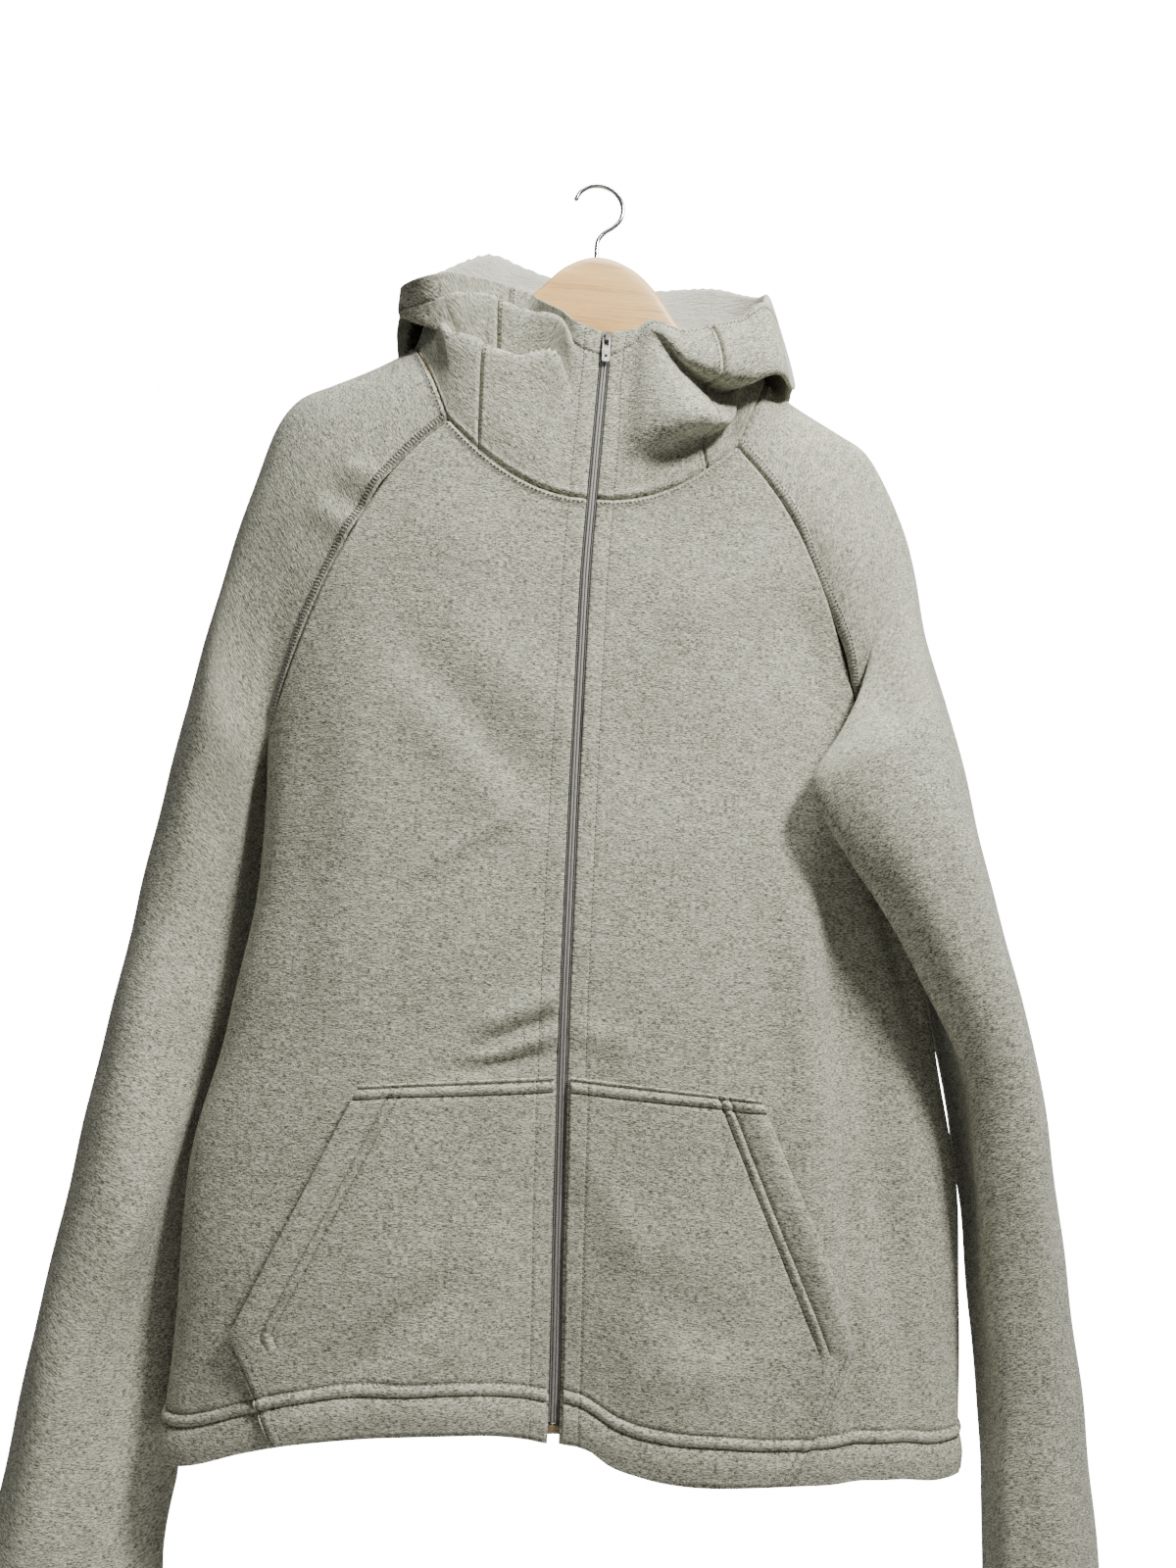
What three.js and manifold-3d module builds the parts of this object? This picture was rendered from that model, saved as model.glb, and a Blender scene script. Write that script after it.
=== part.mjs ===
// A full zip hoodie hanging on a wooden hanger.
// Millimetres, +Z up, the front faces -Y, and +X is the wearer's left.
// The origin is the underside of the hook's crown, where a rail carries the hanger.
import * as THREE from "three";
import { mergeVertices } from "three/addons/utils/BufferGeometryUtils.js";
import Module from "manifold-3d";

// Cloth and seams
const WALL = 2.4;
const HEM_WALL = 4.6;
const SEAM_GAP = 0.3;
const HEM_DEPTH = 31;

// Where the garment starts and ends
const UNDERARM_Z = -455;
const NECK_FRONT_Z = -279;
const NECK_BACK_Z = -141;
const BACK_HEM_X = 45;
const NECK_SCOOP = 2.2;
const HANGER_HALF_DEPTH = 9;
const SHOULDER_FALL = 120;
const ROUNDNESS = 2.6;

// Grid sizes
const FRONT_COLUMNS = 12;
const FRONT_SPREAD = 1.3;
const BACK_HALF_COLUMNS = 8;
const SLEEVE_COLUMNS = 14;
const RAGLAN_ROWS = 10;
const SIDE_ROWS = 11;
const HOOD_ROWS = 18;
const COLLAR_COLUMNS = 10;
const COLLAR_LEAN_END = 0.3;

const LEFT = -1;
const RIGHT = 1;

function tableOf(keys, rows) {
  return rows.map((row) => Object.fromEntries(keys.map((key, i) => [key, row[i]])));
}

// Body levels: half width on each side and depth in front of and behind the hanger
const BODY_LEVELS = [
  { z: -990, left: 240, right: 285, front: 56, back: 46 },
  { z: -911, left: 238, right: 284, front: 56, back: 46 },
  { z: -830, left: 237, right: 284, front: 60, back: 46 },
  { z: -740, left: 237, right: 282, front: 60, back: 46 },
  { z: -650, left: 222, right: 268, front: 60, back: 44 },
  { z: -555, left: 209, right: 244, front: 60, back: 43 },
  { z: -455, left: 212, right: 216, front: 58, back: 42 },
  { z: -415, left: 216, right: 220, front: 58, back: 42 },
  { z: -373, left: 226, right: 230, front: 58, back: 42 },
  { z: -300, left: 258, right: 258, front: 58, back: 42 },
  { z: -229, left: 268, right: 268, front: 58, back: 42 },
  { z: -120, left: 290, right: 290, front: 58, back: 42 },
];

// The line of the shoulder over the hanger, outward from the neck
const SHOULDER_LINE = [
  { x: 0, z: -75 },
  { x: 60, z: -107 },
  { x: 100, z: -137 },
  { x: 132, z: -156 },
  { x: 173, z: -180 },
  { x: 202, z: -194 },
  { x: 219, z: -210 },
  { x: 230, z: -243 },
  { x: 244, z: -302 },
  { x: 300, z: -420 },
];

// The two raglan seams, from the neck to the underarm
const RAGLAN_FRONT = [
  { t: 0, x: 102, z: -229 },
  { t: 0.12, x: 123, z: -250 },
  { t: 0.25, x: 143, z: -276 },
  { t: 0.42, x: 162, z: -312 },
  { t: 0.6, x: 179, z: -350 },
  { t: 0.8, x: 197, z: -400 },
  { t: 1, x: 212, z: UNDERARM_Z },
];
const RAGLAN_BACK = [
  { t: 0, x: 92, z: -150 },
  { t: 0.25, x: 134, z: -215 },
  { t: 0.5, x: 167, z: -290 },
  { t: 0.75, x: 192, z: -372 },
  { t: 1, x: 212, z: UNDERARM_Z },
];

// The zip's line from top to bottom
const ZIP_LINE = [
  { z: -990, x: 6 },
  { z: -883, x: 6 },
  { z: -760, x: 2 },
  { z: -609, x: -2 },
  { z: -344, x: -2 },
  { z: -279, x: 0 },
  { z: -154, x: 5 },
];

// The lower edge of the hem across the front and back
const HEM_LINE = [
  { x: -240, z: -918 },
  { x: -212, z: -917 },
  { x: -194, z: -913 },
  { x: -165, z: -901 },
  { x: -134, z: -892 },
  { x: -92, z: -886 },
  { x: -44, z: -888 },
  { x: 0, z: -897 },
  { x: 15, z: -900 },
  { x: 35, z: -910 },
  { x: 60, z: -914 },
  { x: 100, z: -914 },
  { x: 140, z: -915 },
  { x: 174, z: -916 },
  { x: 200, z: -920 },
  { x: 285, z: -922 },
];

// The crest of the shoulder and the outer edge of each sleeve above the underarm
const CREST_SWELL = 8.5;
const SLEEVE_CREST = [
  { t: 0, x: 132, z: -156 },
  { t: 0.12, x: 160, z: -173 },
  { t: 0.25, x: 190, z: -189 },
  { t: 0.36, x: 212, z: -202 },
  { t: 0.46, x: 226, z: -225 },
  { t: 0.6, x: 238, z: -268 },
  { t: 0.8, x: 252, z: -335 },
  { t: 1, x: 265, z: -405 },
];

// Sleeve sections from the underarm to the cuff. u is the underarm seam, a the inner face beside it,
// e the front fold, m the middle of the front face, o the outer edge, k the middle of the back face,
// and l its inner part.
const SLEEVE_KEYS = "t zu zo ux uy ax ay ex ey mx my ox oy kx ky lx ly".split(" ");
const SLEEVE_RIGHT_WEARER = tableOf(SLEEVE_KEYS, [
  [1.0, -455, -405, 212, 0, 217, -14, 224, -26, 250, -32, 265, 0, 244, 46, 218, 34],
  [1.06, -488, -458, 208, 32, 220, 10, 226, -16, 254, -28, 274, 2, 248, 56, 220, 60],
  [1.16, -560, -545, 166, 64, 220, 30, 230, 4, 262, -24, 287, 6, 248, 66, 204, 82],
  [1.32, -655, -650, 168, 66, 226, 34, 238, -2, 272, -28, 300, 4, 254, 62, 208, 80],
  [1.5, -762, -760, 190, 62, 244, 26, 261, -28, 292, -30, 314, 2, 270, 54, 228, 72],
  [1.63, -840, -838, 212, 54, 248, 18, 291, -32, 310, -28, 322, 0, 284, 42, 246, 60],
  [1.76, -912, -910, 232, 40, 254, 10, 304, -30, 321, -24, 331, 0, 296, 34, 262, 46],
  [2.0, -1042, -1046, 234, 14, 262, -6, 307, -26, 328, -20, 344, 0, 304, 26, 264, 30],
]);
const SLEEVE_LEFT_WEARER = tableOf(SLEEVE_KEYS, [
  [1.0, -455, -415, 217, 0, 214, -44, 148, -76, 216, -92, 282, -6, 262, 48, 228, 38],
  [1.05, -480, -448, 232, 2, 210, -50, 160, -76, 226, -92, 289, -6, 270, 48, 240, 40],
  [1.1, -505, -480, 241, 2, 218, -47, 180, -74, 238, -92, 296, -6, 278, 48, 252, 40],
  [1.2, -562, -545, 260, 4, 242, -38, 218, -70, 264, -88, 308, -6, 290, 48, 268, 40],
  [1.36, -655, -645, 281, 10, 276, -30, 272, -60, 302, -74, 335, -6, 314, 46, 292, 40],
  [1.5, -735, -730, 295, 10, 290, -24, 285, -54, 318, -64, 351, -6, 328, 44, 305, 36],
  [1.63, -815, -812, 300, 8, 297, -18, 296, -44, 330, -54, 363, -6, 338, 38, 314, 30],
  [1.76, -890, -890, 306, 6, 303, -16, 305, -38, 340, -46, 373, -6, 346, 32, 322, 25],
  [2.0, -1038, -1042, 309, 4, 306, -14, 309, -32, 350, -38, 388, -6, 358, 26, 330, 20],
]);

// Rows of the sleeve below the underarm; the thumb opening widens the seam between two of them
const SLEEVE_ROWS = [
  1.0, 1.05, 1.11, 1.18, 1.25, 1.32, 1.4, 1.48, 1.56, 1.64, 1.72, 1.8,
  1.85, 1.874, 1.9, 1.926, 1.95, 2.0,
];
const THUMB_TOP = 1.85;
const THUMB_BOTTOM = 1.95;
const THUMB_HALF_WIDTH = 9;

// Hood and collar profiles, from the zip to the centre back. Each fold is given by how far it lies
// outward of the neck seam and above it, in the vertical plane that faces the heading.
const HOOD_KEYS = "u heading o1 h1 o2 h2 o3 h3 o4 h4 o5 h5 o6 h6".split(" ");
const HOOD_LEFT = tableOf(HOOD_KEYS, [
  [0.0, 0, 0, 21, 0, 42, 0, 63, 0, 84, 0, 104, 0, 125],
  [0.045, 2, 0, 36, 1, 70, 0, 78, 0, 106, -1, 112, -1, 130],
  [0.08, 5, 2, 52, 3, 101, -5, 94, -6, 133, -12, 124, -13, 143],
  [0.16, 16, 4, 44, 4, 84, -13, 66, -16, 130, -30, 104, -34, 152],
  [0.26, 30, 4, 36, 4, 72, -20, 54, -14, 115, -33, 86, -28, 133],
  [0.33, 40, 2, 30, 4, 58, -20, 42, -4, 91, -22, 66, -4, 106],
  [0.42, 55, -3, 24, -6, 42, -12, 44, 5, 54, -4, 34, 14, 68],
  [0.5, 72, -4, 22, -8, 40, -6, 52, 7, 34, 14, 24, 16, 48],
  [0.6, 92, -6, 22, -8, 44, -2, 64, 7, 22, 12, 24, 11, 38],
  [0.735, 140, 4, 34, 8, 70, 10, 97, 34, -62, 48, -10, 46, 38],
  [0.8, 154, 6, 35, 12, 76, 18, 110, 33, -98, 52, -32, 54, 44],
  [0.87, 166, 8, 36, 18, 76, 29, 108, 32, -128, 56, -50, 62, 48],
  [1.0, 180, 9, 36, 20, 74, 36, 96, 30, -150, 58, -62, 66, 46],
]);
const HOOD_RIGHT = tableOf(HOOD_KEYS, [
  [0.0, 0, 0, 21, 0, 42, 0, 63, 0, 84, 0, 104, 0, 125],
  [0.045, 2, 0, 24, 1, 44, 0, 92, 0, 106, 0, 122, -1, 129],
  [0.08, 5, 0, 26, 9, 44, 4, 120, 5, 125, -1, 134, -8, 130],
  [0.16, 16, -2, 30, 22, 40, 0, 90, 10, 88, -2, 118, -14, 112],
  [0.26, 30, -5, 22, 10, 26, -10, 56, 16, 58, 0, 104, -14, 97],
  [0.33, 40, -7, 18, -5, 30, -10, 44, 19, 43, 2, 94, -10, 86],
  [0.42, 55, -6, 20, -7, 36, -3, 54, 20, 20, 3, 79, -6, 74],
  [0.5, 72, -6, 24, -7, 46, 0, 68, 21, -4, 5, 58, 0, 64],
  [0.6, 92, -6, 26, -4, 54, 1, 80, 24, 2, 6, 42, 3, 58],
  [0.735, 140, 4, 34, 10, 72, 16, 99, 40, -60, 50, -10, 46, 40],
  [0.87, 166, 8, 36, 18, 74, 31, 100, 32, -128, 56, -50, 62, 46],
  [1.0, 180, 9, 36, 20, 74, 36, 96, 30, -150, 58, -62, 66, 46],
]);

// Pockets: the outline on the front panel, from the zip outward
const POCKET_TOP_Z = -672;
const POCKET_TOP_X = 124;
const POCKET_CORNER_X = 196;
const POCKET_CORNER_Z = -836;
const POCKET_FOOT_X = 158;
const POCKET_LIFT = WALL + 1.2;
const POCKET_FOOT_Z = -905;
const POCKET_HEM_SHARE = 0.1;
const POCKET_START = 0.06;
const POCKET_INNER = 4;
const HEM_LIFT = 1.3;

// Zip
const ZIP_HALF_GAP = 3.6;
const TAPE_WIDTH = 13.4;
const TAPE_WALL = 1.0;
const CHAIN_HALF_WIDTH = 3.0;
const CHAIN_DEPTH = 2.2;
const COLLAR_EDGE_STEP = 3;
const CHAIN_TOP_Z = -165.5;
const CHAIN_FOOT_Z = -886;
const TAPE_TOP_Z = -156;
const TAPE_FOOT_Z = -893;
const TAPE_SET_BACK = HEM_WALL / 2 + SEAM_GAP + TAPE_WALL / 2;
const TAPE_INNER = ZIP_HALF_GAP - 0.6;
const SLIDER = { width: 6.4, height: 10.8, depth: 4.4, z: -159.6, back: 2.2 };
const BRIDGE = { width: 1.8, height: 6.4, rise: 3.6, foot: 1.1 };
const PULL = {
  width: 5.6,
  top: 0.6,
  bottom: -17.4,
  thick: 1.1,
  window: 3.2,
  windowEnd: -5.6,
  hole: 2.2,
  holeAt: -13.2,
  drop: 1.0,
  standOff: 1.25,
};
const STOP = { width: 6.2, height: 4.5, depth: 3.4 };

// Hanger
const WOOD_HALF_DEPTH = 7;
const WOOD_HALF_LENGTH = 212;
const WOOD_CROWN_Z = -61;
const WOOD_TOP = [
  { x: -212, z: -209 },
  { x: -196, z: -197 },
  { x: -173, z: -184 },
  { x: -132, z: -161 },
  { x: -100, z: -142 },
  { x: -66, z: -118 },
  { x: -42, z: -92 },
  { x: -24, z: -72 },
  { x: 0, z: WOOD_CROWN_Z },
  { x: 26, z: -67 },
  { x: 46, z: -84 },
  { x: 66, z: -112 },
  { x: 100, z: -142 },
  { x: 132, z: -161 },
  { x: 173, z: -184 },
  { x: 196, z: -197 },
  { x: 212, z: -209 },
];
const WOOD_STEPS = 40;
const WOOD_BEVEL = 1.6;
const WOOD_BOTTOM_Z = -128;
const WOOD_ARM_DROP = 100;
const HOOK_RADIUS = 19;
const WIRE_RADIUS = 1.7;
const HOOK_CENTRE_Z = WIRE_RADIUS - HOOK_RADIUS;
const HOOK_START = -48;
const HOOK_END = 192;
const HOOK_STEP = 20;
const HOOK_TUBE_STEPS = 44;

const FABRIC = { color: 0xa7a59c, roughness: 0.95, metalness: 0 };
const POCKET_FABRIC = { color: 0xa3a198, roughness: 0.95, metalness: 0 };
const TAPE = { color: 0x8f8c84, roughness: 0.85, metalness: 0 };
const COIL = { color: 0x77736a, roughness: 0.45, metalness: 0.1 };
const SILVER = { color: 0xc4c3bd, roughness: 0.35, metalness: 0.8 };
const WOOD = { color: 0xcda774, roughness: 0.4, metalness: 0 };
const BRASS = { color: 0xa58d5c, roughness: 0.4, metalness: 0.8 };
const CHROME = { color: 0xd5d5d5, roughness: 0.12, metalness: 1 };

// Small tools

// A smooth value of one column of a table, at a place along another column
function along(table, key, at, column) {
  const up = table[table.length - 1][key] > table[0][key];
  const rows = up ? table : [...table].reverse();
  const last = rows.length - 1;
  if (at <= rows[0][key]) return rows[0][column];
  if (at >= rows[last][key]) return rows[last][column];
  const i = Math.min(last - 1, rows.findIndex((row, k) => at < (rows[k + 1] ?? row)[key]));
  const from = rows[i];
  const to = rows[i + 1];
  const f = (at - from[key]) / (to[key] - from[key]);
  const slope = (k) => {
    if (k === 0 || k === last) return null;
    return (rows[k + 1][column] - rows[k - 1][column]) / (rows[k + 1][key] - rows[k - 1][key]);
  };
  const chord = (to[column] - from[column]) / (to[key] - from[key]);
  const width = to[key] - from[key];
  const startSlope = (slope(i) ?? chord) * width;
  const endSlope = (slope(i + 1) ?? chord) * width;
  const f2 = f * f;
  const f3 = f2 * f;
  return from[column] * (2 * f3 - 3 * f2 + 1) + startSlope * (f3 - 2 * f2 + f)
    + to[column] * (3 * f2 - 2 * f3) + endSlope * (f3 - f2);
}

function mix(a, b, f) {
  return a + (b - a) * f;
}

function smoothstep(from, to, at) {
  const f = Math.min(1, Math.max(0, (at - from) / (to - from)));
  return f * f * (3 - 2 * f);
}

function radians(degrees) {
  return (degrees * Math.PI) / 180;
}

// Body surface

function shoulderZ(x) {
  return along(SHOULDER_LINE, "x", Math.abs(x), "z");
}

function zipX(z) {
  return along(ZIP_LINE, "z", z, "x");
}

function halfWidth(side, z) {
  return along(BODY_LEVELS, "z", z, side === LEFT ? "left" : "right");
}

// How far the cloth stands off the hanger's plane, from almost nothing at the shoulder line
function depthAt(x, z, full) {
  const fall = Math.min(1, Math.max(0, (shoulderZ(x) - z) / SHOULDER_FALL));
  return HANGER_HALF_DEPTH + (full - HANGER_HALF_DEPTH) * Math.sqrt(1 - (1 - fall) ** 2);
}

// The zip hangs back between two soft lobes of the lower front
function lobes(x, z) {
  const low = smoothstep(-560, -880, z);
  const valley = Math.exp(-(((x - 4) / 52) ** 2));
  const swell = Math.exp(-(((Math.abs(x - 10) - 120) / 60) ** 2));
  return low * (20 * valley - 6 * swell);
}

// A point of the body. The angle is 0 at the front, 90 at the side and 180 at the back.
function bodyPoint(side, angle, z) {
  const reach = Math.abs(Math.sin(radians(angle)));
  const inFront = angle <= 90;
  const middle = inFront ? zipX(z) : 0;
  const x = mix(middle, side * halfWidth(side, z), reach);
  const round = (1 - Math.min(1, reach) ** ROUNDNESS) ** (1 / ROUNDNESS);
  const full = along(BODY_LEVELS, "z", z, inFront ? "front" : "back");
  const depth = depthAt(x, z, full) * round;
  const y = inFront ? -depth + lobes(x, z) * round : depth;
  return new THREE.Vector3(x, y, z);
}

// The angle at which the body has a given distance from the middle
function angleAt(side, x, z, inFront) {
  const middle = inFront ? zipX(z) : 0;
  const reach = Math.min(1, Math.max(0, (side * x - middle) / (side * halfWidth(side, z) - middle)));
  const angle = THREE.MathUtils.radToDeg(Math.asin(reach));
  return inFront ? angle : 180 - angle;
}

// The side seam sits behind the outline on one side and in front of it on the other
function sideSeamAngle(side, z) {
  const wrap = side === LEFT ? 7 : -10;
  return 90 + wrap * smoothstep(UNDERARM_Z, UNDERARM_Z - 160, z);
}

function hemZ(x) {
  return along(HEM_LINE, "x", x, "z");
}

function raglanEnd(side, table, t, inFront) {
  const z = along(table, "t", t, "z");
  const x = along(table, "t", t, "x");
  const reach = t === 1 ? halfWidth(side, z) : x;
  return { z, angle: angleAt(side, reach, z, inFront) };
}

// Panels as grids of points. Rows run down, columns run across.

function sideRowZ(row, x) {
  const hem = hemZ(x);
  const hemRow = SIDE_ROWS - 1;
  if (row >= hemRow) return mix(hem + HEM_DEPTH, hem, row - hemRow);
  return mix(UNDERARM_Z, hem + HEM_DEPTH, row / hemRow);
}

function frontGrid(side) {
  const grid = [];
  for (let row = 0; row <= RAGLAN_ROWS + SIDE_ROWS; row++) {
    const line = [];
    const onRaglan = row <= RAGLAN_ROWS;
    const t = row / RAGLAN_ROWS;
    const edgeX = side * halfWidth(side, UNDERARM_Z);
    const end = onRaglan ? raglanEnd(side, RAGLAN_FRONT, t, true) : null;
    const endZ = onRaglan ? end.z : sideRowZ(row - RAGLAN_ROWS, edgeX);
    const endAngle = onRaglan ? end.angle : sideSeamAngle(side, endZ);
    const middleZ = onRaglan ? mix(NECK_FRONT_Z, UNDERARM_Z, t) : null;
    for (let column = 0; column <= FRONT_COLUMNS; column++) {
      const s = (column / FRONT_COLUMNS) ** FRONT_SPREAD;
      const across = Math.sin(radians(s * endAngle)) / Math.sin(radians(endAngle));
      const scoop = across ** mix(NECK_SCOOP, 1, t);
      const z = onRaglan ? mix(middleZ, endZ, scoop) : sideRowZ(row - RAGLAN_ROWS, edgeX * across);
      const point = bodyPoint(side, s * endAngle, z);
      const zipGap = ZIP_HALF_GAP * (1 - s) ** 3;
      point.x += side * zipGap;
      line.push(point);
    }
    grid.push(line);
  }
  return grid;
}

function backGrid() {
  const grid = [];
  for (let row = 0; row <= RAGLAN_ROWS + SIDE_ROWS; row++) {
    const line = [];
    const onRaglan = row <= RAGLAN_ROWS;
    const t = row / RAGLAN_ROWS;
    for (let column = -BACK_HALF_COLUMNS; column <= BACK_HALF_COLUMNS; column++) {
      const side = column < 0 ? LEFT : RIGHT;
      const s = Math.abs(column) / BACK_HALF_COLUMNS;
      const edgeX = side * halfWidth(side, UNDERARM_Z);
      const end = onRaglan ? raglanEnd(side, RAGLAN_BACK, t, false) : null;
      const endZ = onRaglan ? end.z : sideRowZ(row - RAGLAN_ROWS, edgeX);
      const endAngle = onRaglan ? end.angle : sideSeamAngle(side, endZ);
      const middleZ = onRaglan ? mix(NECK_BACK_Z, UNDERARM_Z, t) : sideRowZ(row - RAGLAN_ROWS, BACK_HEM_X);
      const z = mix(middleZ, endZ, s * s);
      line.push(bodyPoint(side, mix(180, endAngle, s), z));
    }
    grid.push(line);
  }
  return grid;
}

// A smooth line through knots, with the same number of steps between each two of them
function knotLine(knots, steps) {
  const curve = new THREE.CatmullRomCurve3(knots, false, "centripetal");
  const points = curve.getPoints(steps);
  points[0].copy(knots[0]);
  points[steps].copy(knots[knots.length - 1]);
  return points;
}

// A knot of a sleeve section above the underarm: part of the way round a quarter of an ellipse
function quarterKnot(start, crest, degrees) {
  const across = Math.sin(radians(degrees));
  const forward = 1 - Math.cos(radians(degrees));
  return new THREE.Vector3(
    mix(start.x, crest.x, across),
    mix(start.y, crest.y, forward),
    mix(start.z, crest.z, across),
  );
}

function sectionKnot(side, table, t, name, share) {
  const at = Math.max(1, t);
  const zu = along(table, "t", at, "zu");
  const zo = along(table, "t", at, "zo");
  return new THREE.Vector3(
    side * along(table, "t", at, `${name}x`),
    along(table, "t", at, `${name}y`),
    mix(zu, zo, share),
  );
}

function sleeveSection(side, table, t, front, back) {
  const round = Math.min(1, t);
  const crestTable = sectionKnot(side, table, t, "o", 1);
  const swell = side === RIGHT ? CREST_SWELL * smoothstep(0.4, 0.62, round) : 0;
  const crestAuto = new THREE.Vector3(
    side * (along(SLEEVE_CREST, "t", round, "x") + swell),
    0,
    along(SLEEVE_CREST, "t", round, "z"),
  );
  const blend = smoothstep(0.62, 1, t);
  const crest = crestAuto.clone().lerp(crestTable, t < 1 ? smoothstep(0.8, 1, t) : 1);
  const knot = (name, share, start, degrees) => {
    const auto = quarterKnot(start, crestAuto, degrees);
    return auto.lerp(sectionKnot(side, table, t, name, share), t < 1 ? blend : 1);
  };
  return [
    front,
    knot("a", -0.2, front, 14),
    knot("e", -0.38, front, 30),
    knot("m", 0.6, front, 60),
    crest,
    knot("k", 0.6, back, 60),
    knot("l", 0.25, back, 30),
    back,
  ];
}

function sleeveGrid(side, front, back) {
  const table = side === LEFT ? SLEEVE_RIGHT_WEARER : SLEEVE_LEFT_WEARER;
  const grid = [];
  for (let row = 0; row <= RAGLAN_ROWS; row++) {
    const t = row / RAGLAN_ROWS;
    const start = front[row][FRONT_COLUMNS];
    const end = back[row][side === LEFT ? 0 : 2 * BACK_HALF_COLUMNS];
    grid.push(knotLine(sleeveSection(side, table, t, start, end), SLEEVE_COLUMNS));
  }
  for (const t of SLEEVE_ROWS.slice(1)) {
    const seam = sectionKnot(side, table, t, "u", 0);
    grid.push(knotLine(sleeveSection(side, table, t, seam, seam), SLEEVE_COLUMNS));
  }
  return grid;
}

// The neck seam from the zip to the centre back, through the tops of the front, sleeve and back
function neckSeam(side, front, sleeve, back) {
  const points = front[0].map((point) => point.clone());
  sleeve[0].slice(1).forEach((point) => points.push(point.clone()));
  const half = BACK_HALF_COLUMNS;
  for (let step = 1; step <= half; step++) {
    const column = side === LEFT ? step : 2 * half - step;
    points.push(back[0][column].clone());
  }
  return points;
}

function hoodGrid(side, seam) {
  const table = side === LEFT ? HOOD_LEFT : HOOD_RIGHT;
  const lengths = [0];
  seam.slice(1).forEach((point, i) => lengths.push(lengths[i] + point.distanceTo(seam[i])));
  const total = lengths[lengths.length - 1];
  const columns = seam.map((point, i) => {
    const u = lengths[i] / total;
    const heading = radians(along(table, "u", u, "heading"));
    const out = new THREE.Vector3(side * Math.sin(heading), -Math.cos(heading), 0);
    const knots = [point];
    for (let fold = 1; fold <= 6; fold++) {
      const knot = point.clone().addScaledVector(out, along(table, "u", u, `o${fold}`));
      knot.z += along(table, "u", u, `h${fold}`);
      knot.x += (zipX(knot.z) - zipX(point.z)) * Math.max(0, 1 - u / COLLAR_LEAN_END);
      knots.push(knot);
    }
    if (i === seam.length - 1) knots.forEach((knot) => { knot.x = 0; });
    return knotLine(knots, HOOD_ROWS);
  });
  const grid = [];
  for (let row = HOOD_ROWS; row >= 0; row--) grid.push(columns.map((column) => column[row]));
  return grid;
}

// Walls

function gridNormals(grid, flip) {
  return grid.map((line, row) => line.map((_, column) => {
    const left = line[Math.max(0, column - 1)];
    const right = line[Math.min(line.length - 1, column + 1)];
    const above = grid[Math.max(0, row - 1)][column];
    const below = grid[Math.min(grid.length - 1, row + 1)][column];
    const across = right.clone().sub(left);
    const down = below.clone().sub(above);
    return down.cross(across).multiplyScalar(flip).normalize();
  }));
}

function pointKey(point) {
  return [point.x, point.y, point.z].map((value) => Math.round(value * 50)).join(" ");
}

// Panels that meet at a seam lean the same way there, so their walls stay apart
function shareNormals(panels) {
  const sums = new Map();
  const visit = (action) => panels.forEach((panel) => panel.grid.forEach((line, row) => {
    line.forEach((point, column) => action(pointKey(point), panel, row, column));
  }));
  visit((key, panel, row, column) => {
    const sum = sums.get(key) ?? new THREE.Vector3();
    sums.set(key, sum.add(panel.normals[row][column]));
  });
  visit((key, panel, row, column) => {
    panel.normals[row][column] = sums.get(key).clone().normalize();
  });
}

function towards(point, neighbour, distance) {
  const step = neighbour.clone().sub(point);
  const length = step.length();
  if (length < 1e-6) return point.clone();
  return point.clone().addScaledVector(step, Math.min(0.45, distance / length));
}

// Pulls the edges of a panel in by half a seam gap
function insetGrid(grid, sideInset) {
  const rows = grid.length - 1;
  const columns = grid[0].length - 1;
  const moved = grid.map((line) => line.map((point) => point.clone()));
  for (let row = 0; row <= rows; row++) {
    const inset = sideInset ? sideInset(row) : SEAM_GAP / 2;
    moved[row][0] = towards(moved[row][0], grid[row][1], inset);
    moved[row][columns] = towards(moved[row][columns], grid[row][columns - 1], inset);
  }
  for (let column = 0; column <= columns; column++) {
    moved[0][column] = towards(moved[0][column], grid[1][column], SEAM_GAP / 2);
    moved[rows][column] = towards(moved[rows][column], grid[rows - 1][column], SEAM_GAP / 2);
  }
  return moved;
}

// A closed wall from a grid of points and their normals
function wallGeometry(grid, normals, thickness) {
  const rows = grid.length;
  const columns = grid[0].length;
  const positions = [];
  for (const face of [1, -1]) {
    grid.forEach((line, row) => line.forEach((point, column) => {
      const half = thickness(row) / 2;
      const moved = point.clone().addScaledVector(normals[row][column], face * half);
      positions.push(moved.x, moved.y, moved.z);
    }));
  }
  const outer = (row, column) => row * columns + column;
  const inner = (row, column) => rows * columns + outer(row, column);
  const indices = [];
  const quad = (a, b, c, d) => indices.push(a, b, c, a, c, d);
  for (let row = 0; row < rows - 1; row++) {
    for (let column = 0; column < columns - 1; column++) {
      quad(outer(row, column), outer(row + 1, column), outer(row + 1, column + 1), outer(row, column + 1));
      quad(inner(row, column), inner(row, column + 1), inner(row + 1, column + 1), inner(row + 1, column));
    }
    quad(outer(row, 0), inner(row, 0), inner(row + 1, 0), outer(row + 1, 0));
    const end = columns - 1;
    quad(outer(row, end), outer(row + 1, end), inner(row + 1, end), inner(row, end));
  }
  for (let column = 0; column < columns - 1; column++) {
    quad(outer(0, column), outer(0, column + 1), inner(0, column + 1), inner(0, column));
    const end = rows - 1;
    quad(outer(end, column), inner(end, column), inner(end, column + 1), outer(end, column + 1));
  }
  const geometry = new THREE.BufferGeometry();
  geometry.setAttribute("position", new THREE.Float32BufferAttribute(positions, 3));
  geometry.setIndex(indices);
  return geometry;
}

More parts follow.
